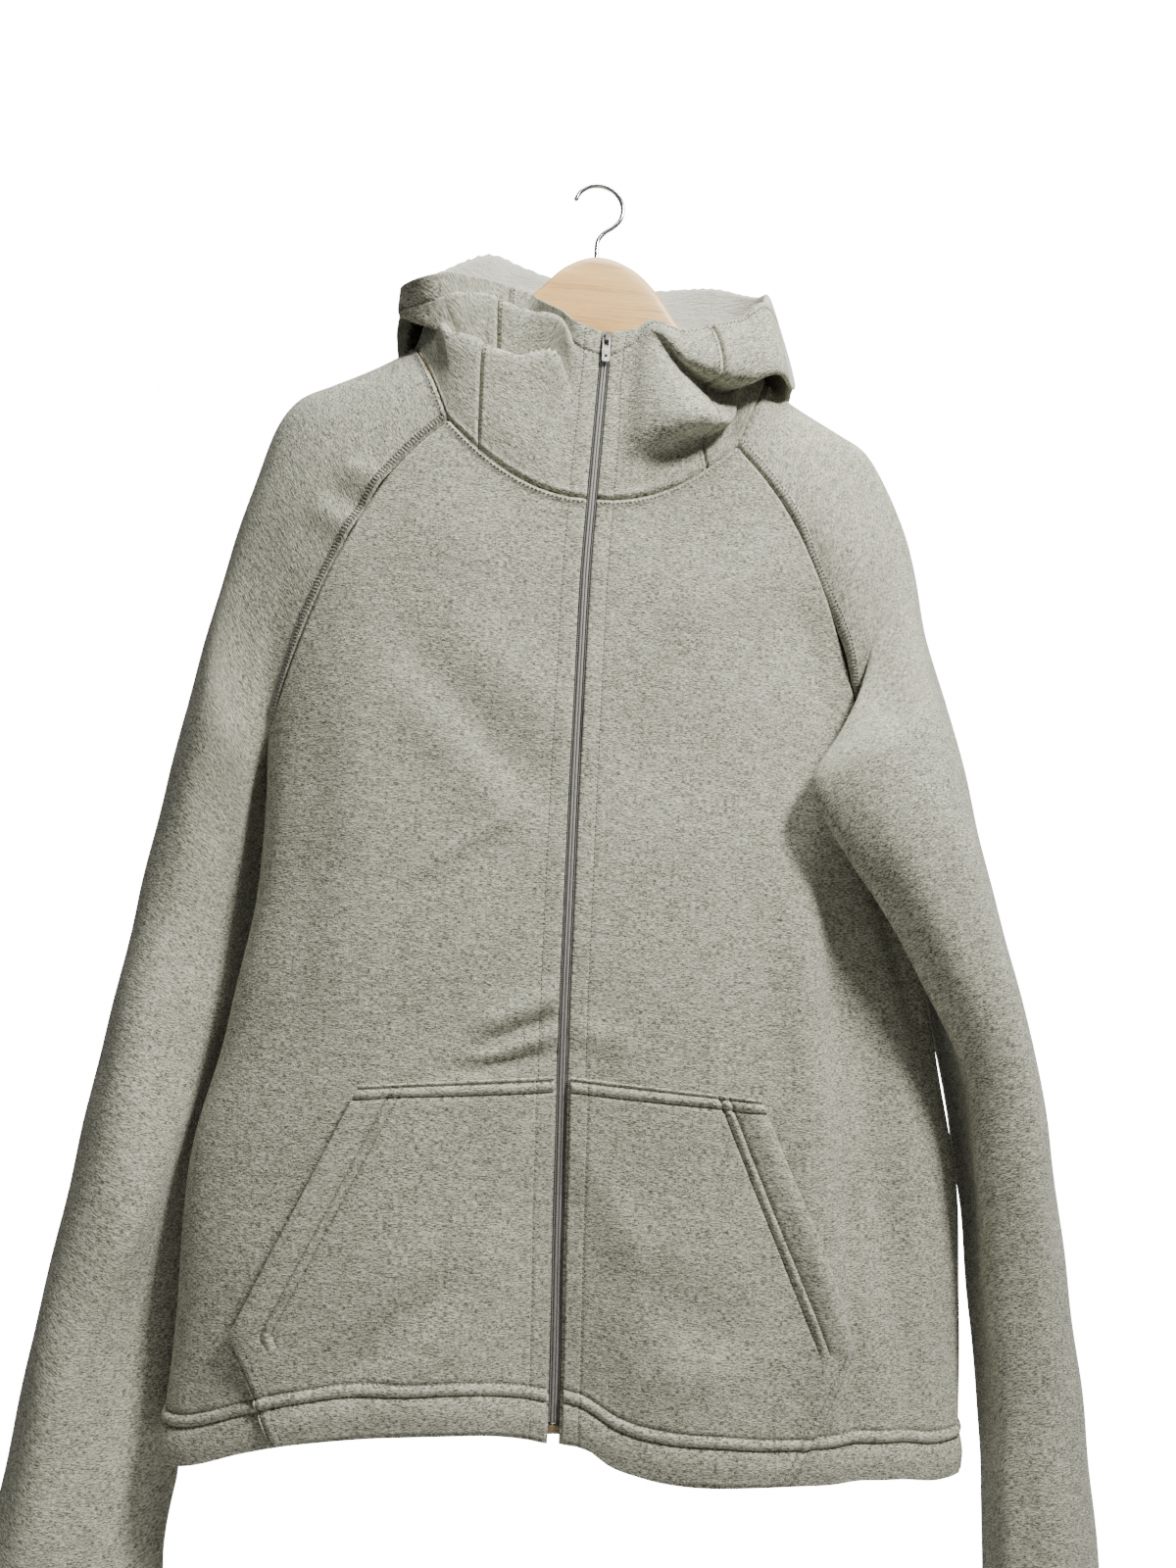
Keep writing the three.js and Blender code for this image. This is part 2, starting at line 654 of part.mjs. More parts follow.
// Turns every triangle of a mesh over
function turnedOver(geometry) {
  const index = geometry.getIndex();
  for (let i = 0; i < index.count; i += 3) {
    const second = index.getX(i + 1);
    index.setX(i + 1, index.getX(i + 2));
    index.setX(i + 2, second);
  }
  return geometry;
}

function named(name, geometry, look) {
  const mesh = new THREE.Mesh(geometry, new THREE.MeshStandardMaterial(look));
  mesh.name = name;
  return mesh;
}

function clothPiece(name, panel, look = FABRIC) {
  const moved = insetGrid(panel.grid, panel.sideInset);
  const geometry = wallGeometry(moved, panel.normals, panel.thickness);
  return named(name, panel.flip < 0 ? turnedOver(geometry) : geometry, look);
}

function panelOf(grid, flip, thickness, sideInset) {
  return { grid, flip, normals: gridNormals(grid, flip), thickness, sideInset };
}

function slice(panel, from, to) {
  return {
    ...panel,
    grid: panel.grid.map((line) => line.slice(from, to + 1)),
    normals: panel.normals.map((line) => line.slice(from, to + 1)),
  };
}

// The thumb opening is a stretch of the sleeve's seam that is left open
function thumbInset(row) {
  const t = SLEEVE_ROWS[row - RAGLAN_ROWS] ?? 0;
  if (t <= THUMB_TOP || t >= THUMB_BOTTOM) return SEAM_GAP / 2;
  const f = (t - THUMB_TOP) / (THUMB_BOTTOM - THUMB_TOP);
  return SEAM_GAP / 2 + THUMB_HALF_WIDTH * Math.sin(Math.PI * f);
}

// A turned hem is thicker than the single cloth
function bodyThickness(row) {
  return row >= RAGLAN_ROWS + SIDE_ROWS - 1 ? HEM_WALL : WALL;
}

function sleeveThickness(row) {
  return row >= RAGLAN_ROWS + SLEEVE_ROWS.length - 2 ? HEM_WALL : WALL;
}

// A point part of the way between the points of a grid
function gridPoint(grid, row, column) {
  const r = Math.min(grid.length - 2, Math.floor(row));
  const c = Math.min(grid[0].length - 2, Math.floor(column));
  const top = grid[r][c].clone().lerp(grid[r][c + 1], column - c);
  const bottom = grid[r + 1][c].clone().lerp(grid[r + 1][c + 1], column - c);
  return top.lerp(bottom, row - r);
}

// The column of a panel's row at which it reaches a distance from the middle
function columnAt(line, side, reach) {
  const found = line.findIndex((point) => side * point.x >= reach);
  const c = Math.max(1, found);
  const from = side * line[c - 1].x;
  const to = side * line[c].x;
  return c - 1 + (reach - from) / (to - from);
}

function rowAt(grid, z) {
  const found = grid.findIndex((line) => line[0].z <= z);
  const from = grid[found - 1][0].z;
  const to = grid[found][0].z;
  return found - 1 + (from - z) / (from - to);
}

// How far a pocket reaches at a height: out to its corner, then in again to its foot at the hem
function pocketReach(z) {
  if (z >= POCKET_CORNER_Z) {
    return mix(POCKET_TOP_X, POCKET_CORNER_X, (z - POCKET_TOP_Z) / (POCKET_CORNER_Z - POCKET_TOP_Z));
  }
  return mix(POCKET_CORNER_X, POCKET_FOOT_X, (z - POCKET_CORNER_Z) / (POCKET_FOOT_Z - POCKET_CORNER_Z));
}

// A pocket is part of the front panel's grid, moved out
function pocketPanel(side, front) {
  const last = front.grid.length - 1;
  const ends = [rowAt(front.grid, POCKET_TOP_Z), rowAt(front.grid, POCKET_CORNER_Z), last - POCKET_HEM_SHARE];
  const whole = front.grid.map((_, row) => row).filter((row) => row > ends[0] && row < ends[2]);
  const rows = [...whole, ...ends].sort((a, b) => a - b);
  const grid = rows.map((row) => {
    const line = front.grid[0].map((_, column) => gridPoint(front.grid, row, column));
    const reach = columnAt(line, side, pocketReach(line[0].z));
    const outer = [0.25, 0.5, 0.75, 1].map((share) => mix(POCKET_INNER, reach, share));
    const columns = [POCKET_START, 1, 2, 3, POCKET_INNER, ...outer];
    const lift = POCKET_LIFT + HEM_LIFT * Math.min(1, Math.max(0, row - (last - 2)));
    return columns.map((column) => {
      const normal = gridPoint(front.normals, row, column).normalize();
      return gridPoint(front.grid, row, column).addScaledVector(normal, lift);
    });
  });
  return panelOf(grid, side, () => WALL);
}

// The inner edge of one side from the top of the collar to the hem
function zipEdge(hood, front) {
  const collar = hood.grid.filter((_, row) => row % COLLAR_EDGE_STEP === 0 && row < HOOD_ROWS);
  return [...collar, ...front.grid].map((line) => line[0].clone());
}

// A strip of the zip, set back from the line between the two edges
function zipStrip(edges, from, to, setBack, depth) {
  const grid = edges.map((edge) => [from, to].map((reach) => {
    return new THREE.Vector3(edge.x + reach, edge.y + setBack, edge.z);
  }));
  return panelOf(grid, 1, () => depth);
}

// The point of a falling line at a height
function pointAtHeight(line, z) {
  const found = line.findIndex((point) => point.z <= z);
  const from = line[found - 1];
  const to = line[found];
  return from.clone().lerp(to, (from.z - z) / (from.z - to.z));
}

// Cuts a falling line off at two heights
function trimmed(line, top, bottom) {
  const kept = line.filter((point) => point.z < top - 1 && point.z > bottom + 1);
  return [pointAtHeight(line, top), ...kept, pointAtHeight(line, bottom)];
}

// The edges beside the zip lean only forward and up, so that they leave it an even gap
function squareZipEdge(panel) {
  panel.normals.forEach((line) => line[0].setX(0).normalize());
}

// Booleans
const wasm = await Module();
wasm.setup();

function solidOf(geometry) {
  const plain = geometry.clone();
  for (const name of Object.keys(plain.attributes)) {
    if (name !== "position") plain.deleteAttribute(name);
  }
  const merged = mergeVertices(plain, 1e-4);
  return new wasm.Manifold(new wasm.Mesh({
    numProp: 3,
    vertProperties: new Float32Array(merged.attributes.position.array),
    triVerts: new Uint32Array(merged.index.array),
  }));
}

function geometryOf(solid) {
  const mesh = solid.getMesh();
  const geometry = new THREE.BufferGeometry();
  geometry.setAttribute("position", new THREE.Float32BufferAttribute(mesh.vertProperties, 3));
  geometry.setIndex(Array.from(mesh.triVerts));
  return geometry;
}

function roundedOutline(width, top, bottom, corner) {
  const half = width / 2;
  const outline = new THREE.Shape();
  outline.moveTo(-half + corner, bottom);
  outline.absarc(half - corner, bottom + corner, corner, -Math.PI / 2, 0, false);
  outline.absarc(half - corner, top - corner, corner, 0, Math.PI / 2, false);
  outline.absarc(-half + corner, top - corner, corner, Math.PI / 2, Math.PI, false);
  outline.absarc(-half + corner, bottom + corner, corner, Math.PI, 1.5 * Math.PI, false);
  return outline;
}

function rectangle(Kind, left, right, bottom, top) {
  const outline = new Kind();
  outline.moveTo(left, bottom);
  outline.lineTo(right, bottom);
  outline.lineTo(right, top);
  outline.lineTo(left, top);
  outline.closePath();
  return outline;
}

// A plate drawn across X and up Z, growing from its back face towards the front
function frontPlate(outline, depth, backY) {
  const geometry = new THREE.ExtrudeGeometry(outline, { depth, bevelEnabled: false, curveSegments: 3 });
  const turn = new THREE.Matrix4().makeBasis(
    new THREE.Vector3(1, 0, 0),
    new THREE.Vector3(0, 0, 1),
    new THREE.Vector3(0, -1, 0),
  );
  geometry.applyMatrix4(turn);
  geometry.translate(0, backY, 0);
  return geometry;
}

// The slider's body with the arch that the pull tab turns in
function sliderPiece(at) {
  const outline = roundedOutline(SLIDER.width, SLIDER.height / 2, -SLIDER.height / 2, 1.4);
  const body = frontPlate(outline, SLIDER.depth, SLIDER.back);
  const half = BRIDGE.height / 2;
  const inside = half - BRIDGE.foot;
  const arch = rectangle(THREE.Shape, -half, half, -0.5, BRIDGE.rise);
  arch.holes.push(rectangle(THREE.Path, -inside, inside, 0, BRIDGE.rise - BRIDGE.foot));
  const bridge = new THREE.ExtrudeGeometry(arch, { depth: BRIDGE.width, bevelEnabled: false });
  bridge.translate(0, 0, -BRIDGE.width / 2);
  bridge.applyMatrix4(new THREE.Matrix4().makeBasis(
    new THREE.Vector3(0, 0, 1),
    new THREE.Vector3(0, -1, 0),
    new THREE.Vector3(1, 0, 0),
  ));
  bridge.translate(0, SLIDER.back - SLIDER.depth, 0);
  const piece = named("zip_slider", geometryOf(solidOf(body).add(solidOf(bridge))), SILVER);
  piece.position.copy(at);
  return piece;
}

// The pull tab: its top bar turns inside the arch and the arch stands in its window
function pullPiece(at) {
  const outline = roundedOutline(PULL.width, PULL.top, PULL.bottom, 1.0);
  outline.holes.push(rectangle(THREE.Path, -PULL.window / 2, PULL.window / 2, PULL.windowEnd, -PULL.top));
  const hole = PULL.hole / 2;
  outline.holes.push(rectangle(THREE.Path, -hole, hole, PULL.holeAt - hole, PULL.holeAt + hole));
  const piece = named("zip_pull", frontPlate(outline, PULL.thick, PULL.thick / 2), SILVER);
  piece.position.set(at.x, at.y + SLIDER.back - SLIDER.depth - PULL.standOff, at.z - PULL.drop);
  return piece;
}

function stopPiece(end) {
  const outline = roundedOutline(STOP.width, -SEAM_GAP, -SEAM_GAP - STOP.height, 0.8);
  const piece = named("zip_stop", frontPlate(outline, STOP.depth, CHAIN_DEPTH / 2), BRASS);
  piece.position.copy(end);
  return piece;
}

// The wooden body: arms that carry the shoulders and a hump in the middle for the hook
function woodPiece() {
  const top = new THREE.SplineCurve(WOOD_TOP.map(({ x, z }) => new THREE.Vector2(x, z)));
  const bottomZ = (x) => WOOD_BOTTOM_Z - WOOD_ARM_DROP * (Math.abs(x) / WOOD_HALF_LENGTH) ** 1.3;
  const outline = new THREE.Shape();
  outline.setFromPoints(top.getPoints(WOOD_STEPS));
  for (let step = 0; step <= WOOD_STEPS / 2; step++) {
    const x = mix(WOOD_HALF_LENGTH, -WOOD_HALF_LENGTH, step / (WOOD_STEPS / 2));
    outline.lineTo(x, bottomZ(x));
  }
  const depth = 2 * (WOOD_HALF_DEPTH - WOOD_BEVEL);
  const geometry = new THREE.ExtrudeGeometry(outline, {
    depth,
    bevelThickness: WOOD_BEVEL,
    bevelSize: WOOD_BEVEL,
    bevelOffset: -WOOD_BEVEL,
    bevelSegments: 2,
    steps: 1,
  });
  geometry.rotateX(Math.PI / 2);
  geometry.translate(0, depth / 2, 0);
  return named("hanger_wood", geometry, WOOD);
}

// The wire hook: a stem, a bend and three quarters of a ring that opens to the wearer's right
function hookPiece() {
  const points = [
    new THREE.Vector3(0, 0, WOOD_CROWN_Z + SEAM_GAP),
    new THREE.Vector3(0, 0, HOOK_CENTRE_Z - HOOK_RADIUS - 10),
    new THREE.Vector3(4, 0, HOOK_CENTRE_Z - HOOK_RADIUS - 2),
  ];
  for (let turn = HOOK_START; turn <= HOOK_END; turn += HOOK_STEP) {
    const angle = radians(turn);
    points.push(new THREE.Vector3(
      HOOK_RADIUS * Math.cos(angle),
      0,
      HOOK_CENTRE_Z + HOOK_RADIUS * Math.sin(angle),
    ));
  }
  const section = new THREE.Shape();
  section.absarc(0, 0, WIRE_RADIUS, 0, 2 * Math.PI, false);
  const geometry = new THREE.ExtrudeGeometry(section, {
    extrudePath: new THREE.CatmullRomCurve3(points, false, "centripetal"),
    steps: HOOK_TUBE_STEPS,
    curveSegments: 4,
  });
  return named("hanger_hook", geometry, CHROME);
}

const group = new THREE.Group();
const panels = {};
const sides = [
  { side: LEFT, tag: "right" },
  { side: RIGHT, tag: "left" },
];

const backPoints = backGrid();
panels.back = panelOf(backPoints, -1, bodyThickness);
for (const { side, tag } of sides) {
  const frontPoints = frontGrid(side);
  const sleevePoints = sleeveGrid(side, frontPoints, backPoints);
  const hoodPoints = hoodGrid(side, neckSeam(side, frontPoints, sleevePoints, backPoints));
  panels[`front_${tag}`] = panelOf(frontPoints, side, bodyThickness);
  panels[`sleeve_${tag}`] = panelOf(sleevePoints, side, sleeveThickness, thumbInset);
  panels[`hood_${tag}`] = panelOf(hoodPoints, side, () => WALL);
}
shareNormals(Object.values(panels));

const zipEdges = {};
for (const { tag } of sides) {
  squareZipEdge(panels[`front_${tag}`]);
  squareZipEdge(panels[`hood_${tag}`]);
}
for (const { side, tag } of sides) {
  const front = panels[`front_${tag}`];
  const hood = panels[`hood_${tag}`];
  const last = hood.grid[0].length - 1;
  group.add(clothPiece(`front_${tag}`, front));
  group.add(clothPiece(`sleeve_${tag}`, panels[`sleeve_${tag}`]));
  group.add(clothPiece(`collar_${tag}`, slice(hood, 0, COLLAR_COLUMNS)));
  group.add(clothPiece(`hood_${tag}`, slice(hood, COLLAR_COLUMNS, last)));
  group.add(clothPiece(`pocket_${tag}`, pocketPanel(side, front), POCKET_FABRIC));
  zipEdges[tag] = zipEdge(hood, front);
}
group.add(clothPiece("back", panels.back));

const zipMiddle = zipEdges.right.map((point, i) => point.clone().add(zipEdges.left[i]).multiplyScalar(0.5));
const tapeLine = trimmed(zipMiddle, TAPE_TOP_Z, TAPE_FOOT_Z);
const chainLine = trimmed(zipMiddle, CHAIN_TOP_Z, CHAIN_FOOT_Z);
for (const { side, tag } of sides) {
  const reaches = [side * (ZIP_HALF_GAP - TAPE_INNER), side * (ZIP_HALF_GAP - TAPE_INNER + TAPE_WIDTH)];
  const [from, to] = reaches.sort((a, b) => a - b);
  group.add(clothPiece(`zip_tape_${tag}`, zipStrip(tapeLine, from, to, TAPE_SET_BACK, TAPE_WALL), TAPE));
}
const chain = zipStrip(chainLine, -CHAIN_HALF_WIDTH, CHAIN_HALF_WIDTH, 0, CHAIN_DEPTH);
group.add(clothPiece("zip_chain", chain, COIL));
const sliderAt = chainLine[0].clone().setZ(SLIDER.z).setX(zipX(SLIDER.z));
group.add(sliderPiece(sliderAt));
group.add(pullPiece(sliderAt));
group.add(stopPiece(chainLine[chainLine.length - 1]));
group.add(woodPiece());
group.add(hookPiece());

export default group;
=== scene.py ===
from math import cos, pi, radians, sin

import bpy
import numpy as np
from mathutils import Matrix, Vector


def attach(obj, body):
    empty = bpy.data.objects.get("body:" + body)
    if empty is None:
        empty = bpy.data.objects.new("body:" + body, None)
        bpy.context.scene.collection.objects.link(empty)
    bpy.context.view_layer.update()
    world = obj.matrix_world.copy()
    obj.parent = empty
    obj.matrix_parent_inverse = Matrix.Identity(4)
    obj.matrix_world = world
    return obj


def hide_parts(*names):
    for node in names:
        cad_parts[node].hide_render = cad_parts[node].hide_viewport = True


bl_info = {
    "name": "Zip hoodie on a hanger",
    "blender": (4, 5, 0),
    "version": (1, 0, 0),
    "location": "View3D > Sidebar > Hoodie",
    "description": "Builds the looks of a zip up hoodie around its packed frame",
    "category": "Object",
}

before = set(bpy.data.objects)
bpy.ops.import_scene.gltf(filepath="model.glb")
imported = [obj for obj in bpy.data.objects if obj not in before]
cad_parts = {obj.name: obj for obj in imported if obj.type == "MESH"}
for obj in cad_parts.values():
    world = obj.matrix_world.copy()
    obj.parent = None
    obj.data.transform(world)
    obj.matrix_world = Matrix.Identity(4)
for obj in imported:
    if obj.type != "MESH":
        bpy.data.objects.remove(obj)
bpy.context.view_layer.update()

# All sizes are in millimetres until a mesh is made
MM = 0.001
LEFT = -1
RIGHT = 1
SIDES = ((LEFT, "right"), (RIGHT, "left"))
GARMENT = "garment"

UNDERARM_Z = -455
NECK_FRONT_Z = -279
NECK_BACK_Z = -141
BACK_HEM_X = 45
NECK_SCOOP = 2.2
HANGER_HALF_DEPTH = 9
SHOULDER_FALL = 120
ROUNDNESS = 2.6
HEM_DEPTH = 31
ZIP_HALF_GAP = 3.6
COLLAR_SEAM_SHARE = (10 / 12) ** 1.3
COLLAR_LEAN_END = 0.3


# Tables and curves


class Table:
    """Rows of numbers with named columns, read smoothly along one of them.

    Between two rows the value is the cubic whose slopes at the rows are those of the neighbours' chords."""

    def __init__(self, names, rows):
        self.names = names.split()
        self.data = np.array(rows, float)

    def read(self, key, at, column):
        x = self.data[:, self.names.index(key)]
        y = self.data[:, self.names.index(column)]
        if x[-1] < x[0]:
            x, y = x[::-1], y[::-1]
        at = np.clip(at, x[0], x[-1])
        i = np.clip(np.searchsorted(x, at, side="right") - 1, 0, len(x) - 2)
        chords = np.diff(y) / np.diff(x)
        slopes = np.concatenate([chords[:1], (y[2:] - y[:-2]) / (x[2:] - x[:-2]), chords[-1:]])
        width = x[i + 1] - x[i]
        f = (at - x[i]) / width
        return hermite(y[i], slopes[i] * width, y[i + 1], slopes[i + 1] * width, f)


def hermite(start, lean_in, end, lean_out, f):
    """The cubic from start to end whose slopes over the whole step are lean_in and lean_out."""
    f2, f3 = f * f, f * f * f
    return (
        start * (2 * f3 - 3 * f2 + 1)
        + lean_in * (f3 - 2 * f2 + f)
        + end * (3 * f2 - 2 * f3)
        + lean_out * (f3 - f2)
    )


def mix(a, b, f):
    return a + (b - a) * f


def smoothstep(start, end, at):
    f = np.clip((at - start) / (end - start), 0, 1)
    return f * f * (3 - 2 * f)


def catmull(knots, places):
    """A smooth curve through the knots of each row, with equal shares of it between neighbouring knots.

    knots is rows by n by 3 and places runs from 0 to 1. Speeds follow the square roots of the chords."""
    first = 2 * knots[:, :1] - knots[:, 1:2]
    last = 2 * knots[:, -1:] - knots[:, -2:-1]
    line = np.concatenate([first, knots, last], axis=1)
    gaps = np.maximum(np.linalg.norm(np.diff(line, axis=1), axis=2), 1e-6) ** 0.5
    place = places * (knots.shape[1] - 1)
    span = np.minimum(place.astype(int), knots.shape[1] - 2)
    f = (place - span)[None, :, None]
    p0, p1, p2, p3 = (line[:, span + k] for k in range(4))
    d0, d1, d2 = (gaps[:, span + k, None] for k in range(3))
    lean_in = ((p1 - p0) / d0 - (p2 - p0) / (d0 + d1) + (p2 - p1) / d1) * d1
    lean_out = ((p2 - p1) / d1 - (p3 - p1) / (d1 + d2) + (p3 - p2) / d2) * d1
    return hermite(p1, lean_in, p2, lean_out, f)


def point(x, y, z):
    """Three arrays or numbers as one array of points."""
    return np.stack(np.broadcast_arrays(x, y, z), axis=-1).astype(float)


BODY_LEVELS = Table("z left right front back", [
    [-990, 240, 285, 56, 46],
    [-911, 238, 284, 56, 46],
    [-830, 237, 284, 60, 46],
    [-740, 237, 282, 60, 46],
    [-650, 222, 268, 60, 44],
    [-555, 209, 244, 60, 43],
    [-455, 212, 216, 58, 42],
    [-415, 216, 220, 58, 42],
    [-373, 226, 230, 58, 42],
    [-300, 258, 258, 58, 42],
    [-229, 268, 268, 58, 42],
    [-120, 290, 290, 58, 42],
])
SHOULDER_LINE = Table("x z", [
    [0, -75],
    [60, -107],
    [100, -137],
    [132, -156],
    [173, -180],
    [202, -194],
    [219, -210],
    [230, -243],
    [244, -302],
    [300, -420],
])
RAGLAN_FRONT = Table("t x z", [
    [0, 102, -229],
    [0.12, 123, -250],
    [0.25, 143, -276],
    [0.42, 162, -312],
    [0.6, 179, -350],
    [0.8, 197, -400],
    [1, 212, UNDERARM_Z],
])
RAGLAN_BACK = Table("t x z", [
    [0, 92, -150],
    [0.25, 134, -215],
    [0.5, 167, -290],
    [0.75, 192, -372],
    [1, 212, UNDERARM_Z],
])
ZIP_LINE = Table("z x", [
    [-990, 6],
    [-883, 6],
    [-760, 2],
    [-609, -2],
    [-344, -2],
    [-279, 0],
    [-154, 5],
])
HEM_LINE = Table("x z", [
    [-240, -918],
    [-212, -917],
    [-194, -913],
    [-165, -901],
    [-134, -892],
    [-92, -886],
    [-44, -888],
    [0, -897],
    [15, -900],
    [35, -910],
    [60, -914],
    [100, -914],
    [140, -915],
    [174, -916],
    [200, -920],
    [285, -922],
])
SLEEVE_CREST = Table("t x z", [
    [0, 132, -156],
    [0.12, 160, -173],
    [0.25, 190, -189],
    [0.36, 212, -202],
    [0.46, 226, -225],
    [0.6, 238, -268],
    [0.8, 252, -335],
    [1, 265, -405],
])
CREST_SWELL = 8.5
BEND_ROUNDS = 60
SLEEVE_NAMES = "t zu zo ux uy ax ay ex ey mx my ox oy kx ky lx ly"
SLEEVE_RIGHT_WEARER = Table(SLEEVE_NAMES, [
    [1.0, -455, -405, 212, 0, 217, -14, 224, -26, 250, -32, 265, 0, 244, 46, 218, 34],
    [1.06, -488, -458, 208, 32, 220, 10, 226, -16, 254, -28, 274, 2, 248, 56, 220, 60],
    [1.16, -560, -545, 166, 64, 220, 30, 230, 4, 262, -24, 287, 6, 248, 66, 204, 82],
    [1.32, -655, -650, 168, 66, 226, 34, 238, -2, 272, -28, 300, 4, 254, 62, 208, 80],
    [1.5, -762, -760, 190, 62, 244, 26, 261, -28, 292, -30, 314, 2, 270, 54, 228, 72],
    [1.63, -840, -838, 212, 54, 248, 18, 291, -32, 310, -28, 322, 0, 284, 42, 246, 60],
    [1.76, -912, -910, 232, 40, 254, 10, 304, -30, 321, -24, 331, 0, 296, 34, 262, 46],
    [2.0, -1042, -1046, 234, 14, 262, -6, 307, -26, 328, -20, 344, 0, 304, 26, 264, 30],
])
SLEEVE_LEFT_WEARER = Table(SLEEVE_NAMES, [
    [1.0, -455, -415, 217, 0, 214, -44, 148, -76, 216, -92, 282, -6, 262, 48, 228, 38],
    [1.05, -480, -448, 232, 2, 210, -50, 160, -76, 226, -92, 289, -6, 270, 48, 240, 40],
    [1.1, -505, -480, 241, 2, 218, -47, 180, -74, 238, -92, 296, -6, 278, 48, 252, 40],
    [1.2, -562, -545, 260, 4, 242, -38, 218, -70, 264, -88, 308, -6, 290, 48, 268, 40],
    [1.36, -655, -645, 281, 10, 276, -30, 272, -60, 302, -74, 335, -6, 314, 46, 292, 40],
    [1.5, -735, -730, 295, 10, 290, -24, 285, -54, 318, -64, 351, -6, 328, 44, 305, 36],
    [1.63, -815, -812, 300, 8, 297, -18, 296, -44, 330, -54, 363, -6, 338, 38, 314, 30],
    [1.76, -890, -890, 306, 6, 303, -16, 305, -38, 340, -46, 373, -6, 346, 32, 322, 25],
    [2.0, -1038, -1042, 309, 4, 306, -14, 309, -32, 350, -38, 388, -6, 358, 26, 330, 20],
])
HOOD_NAMES = "u heading o1 h1 o2 h2 o3 h3 o4 h4 o5 h5 o6 h6"
HOOD_LEFT = Table(HOOD_NAMES, [
    [0.0, 0, 0, 21, 0, 42, 0, 63, 0, 84, 0, 104, 0, 125],
    [0.045, 2, 0, 36, 1, 70, 0, 78, 0, 106, -1, 112, -1, 130],
    [0.08, 5, 2, 52, 3, 101, -5, 94, -6, 133, -12, 124, -13, 143],
    [0.16, 16, 4, 44, 4, 84, -13, 66, -16, 130, -30, 104, -34, 152],
    [0.26, 30, 4, 36, 4, 72, -20, 54, -14, 115, -33, 86, -28, 133],
    [0.33, 40, 2, 30, 4, 58, -20, 42, -4, 91, -22, 66, -4, 106],
    [0.42, 55, -3, 24, -6, 42, -12, 44, 5, 54, -4, 34, 14, 68],
    [0.5, 72, -4, 22, -8, 40, -6, 52, 7, 34, 14, 24, 16, 48],
    [0.6, 92, -6, 22, -8, 44, -2, 64, 7, 22, 12, 24, 11, 38],
    [0.735, 140, 4, 34, 8, 70, 10, 97, 34, -62, 48, -10, 46, 38],
    [0.8, 154, 6, 35, 12, 76, 18, 110, 33, -98, 52, -32, 54, 44],
    [0.87, 166, 8, 36, 18, 76, 29, 108, 32, -128, 56, -50, 62, 48],
    [1.0, 180, 9, 36, 20, 74, 36, 96, 30, -150, 58, -62, 66, 46],
])
HOOD_RIGHT = Table(HOOD_NAMES, [
    [0.0, 0, 0, 21, 0, 42, 0, 63, 0, 84, 0, 104, 0, 125],
    [0.045, 2, 0, 24, 1, 44, 0, 92, 0, 106, 0, 122, -1, 129],
    [0.08, 5, 0, 26, 9, 44, 4, 120, 5, 125, -1, 134, -8, 130],
    [0.16, 16, -2, 30, 22, 40, 0, 90, 10, 88, -2, 118, -14, 112],
    [0.26, 30, -5, 22, 10, 26, -10, 56, 16, 58, 0, 104, -14, 97],
    [0.33, 40, -7, 18, -5, 30, -10, 44, 19, 43, 2, 94, -10, 86],
    [0.42, 55, -6, 20, -7, 36, -3, 54, 20, 20, 3, 79, -6, 74],
    [0.5, 72, -6, 24, -7, 46, 0, 68, 21, -4, 5, 58, 0, 64],
    [0.6, 92, -6, 26, -4, 54, 1, 80, 24, 2, 6, 42, 3, 58],
    [0.735, 140, 4, 34, 10, 72, 16, 99, 40, -60, 50, -10, 46, 40],
    [0.87, 166, 8, 36, 18, 74, 31, 100, 32, -128, 56, -50, 62, 46],
    [1.0, 180, 9, 36, 20, 74, 36, 96, 30, -150, 58, -62, 66, 46],
])


# Surfaces


def shoulder_z(x):
    return SHOULDER_LINE.read("x", np.abs(x), "z")


def zip_x(z):
    return ZIP_LINE.read("z", z, "x")


def hem_z(x):
    return HEM_LINE.read("x", x, "z")


def half_width(side, z):
    return BODY_LEVELS.read("z", z, "left" if side == LEFT else "right")


def depth_at(x, z, full):
    """How far the cloth stands off the hanger: a quarter circle of the fall below the shoulder line."""
    fall = np.clip((shoulder_z(x) - z) / SHOULDER_FALL, 0, 1)
    return HANGER_HALF_DEPTH + (full - HANGER_HALF_DEPTH) * np.sqrt(1 - (1 - fall) ** 2)


def lobes(x, z):
    """The zip hangs back between two soft swells of the lower front."""
    low = smoothstep(-560, -880, z)
    valley = np.exp(-(((x - 4) / 52) ** 2))
    swell = np.exp(-(((np.abs(x - 10) - 120) / 60) ** 2))
    return low * (20 * valley - 6 * swell)


def body_point(side, angle, z):
    """A point of the body, a flattened oval about the hanger: 0 degrees is the front and 180 the back."""
    reach = np.abs(np.sin(np.radians(angle)))
    in_front = angle <= 90
    middle = np.where(in_front, zip_x(z), 0)
    x = mix(middle, side * half_width(side, z), reach)
    round_off = np.maximum(0, 1 - np.minimum(1, reach) ** ROUNDNESS) ** (1 / ROUNDNESS)
    full = np.where(in_front, BODY_LEVELS.read("z", z, "front"), BODY_LEVELS.read("z", z, "back"))
    depth = depth_at(x, z, full) * round_off
    y = np.where(in_front, -depth + lobes(x, z) * round_off, depth)
    return point(x, y, z)


def angle_at(side, x, z, in_front):
    """The angle at which the body's oval has a given distance from the middle."""
    middle = zip_x(z) if in_front else 0 * z
    reach = np.clip((side * x - middle) / (side * half_width(side, z) - middle), 0, 1)
    angle = np.degrees(np.arcsin(reach))
    return angle if in_front else 180 - angle


def side_seam_angle(side, z):
    wrap = 7 if side == LEFT else -10
    return 90 + wrap * smoothstep(UNDERARM_Z, UNDERARM_Z - 160, z)


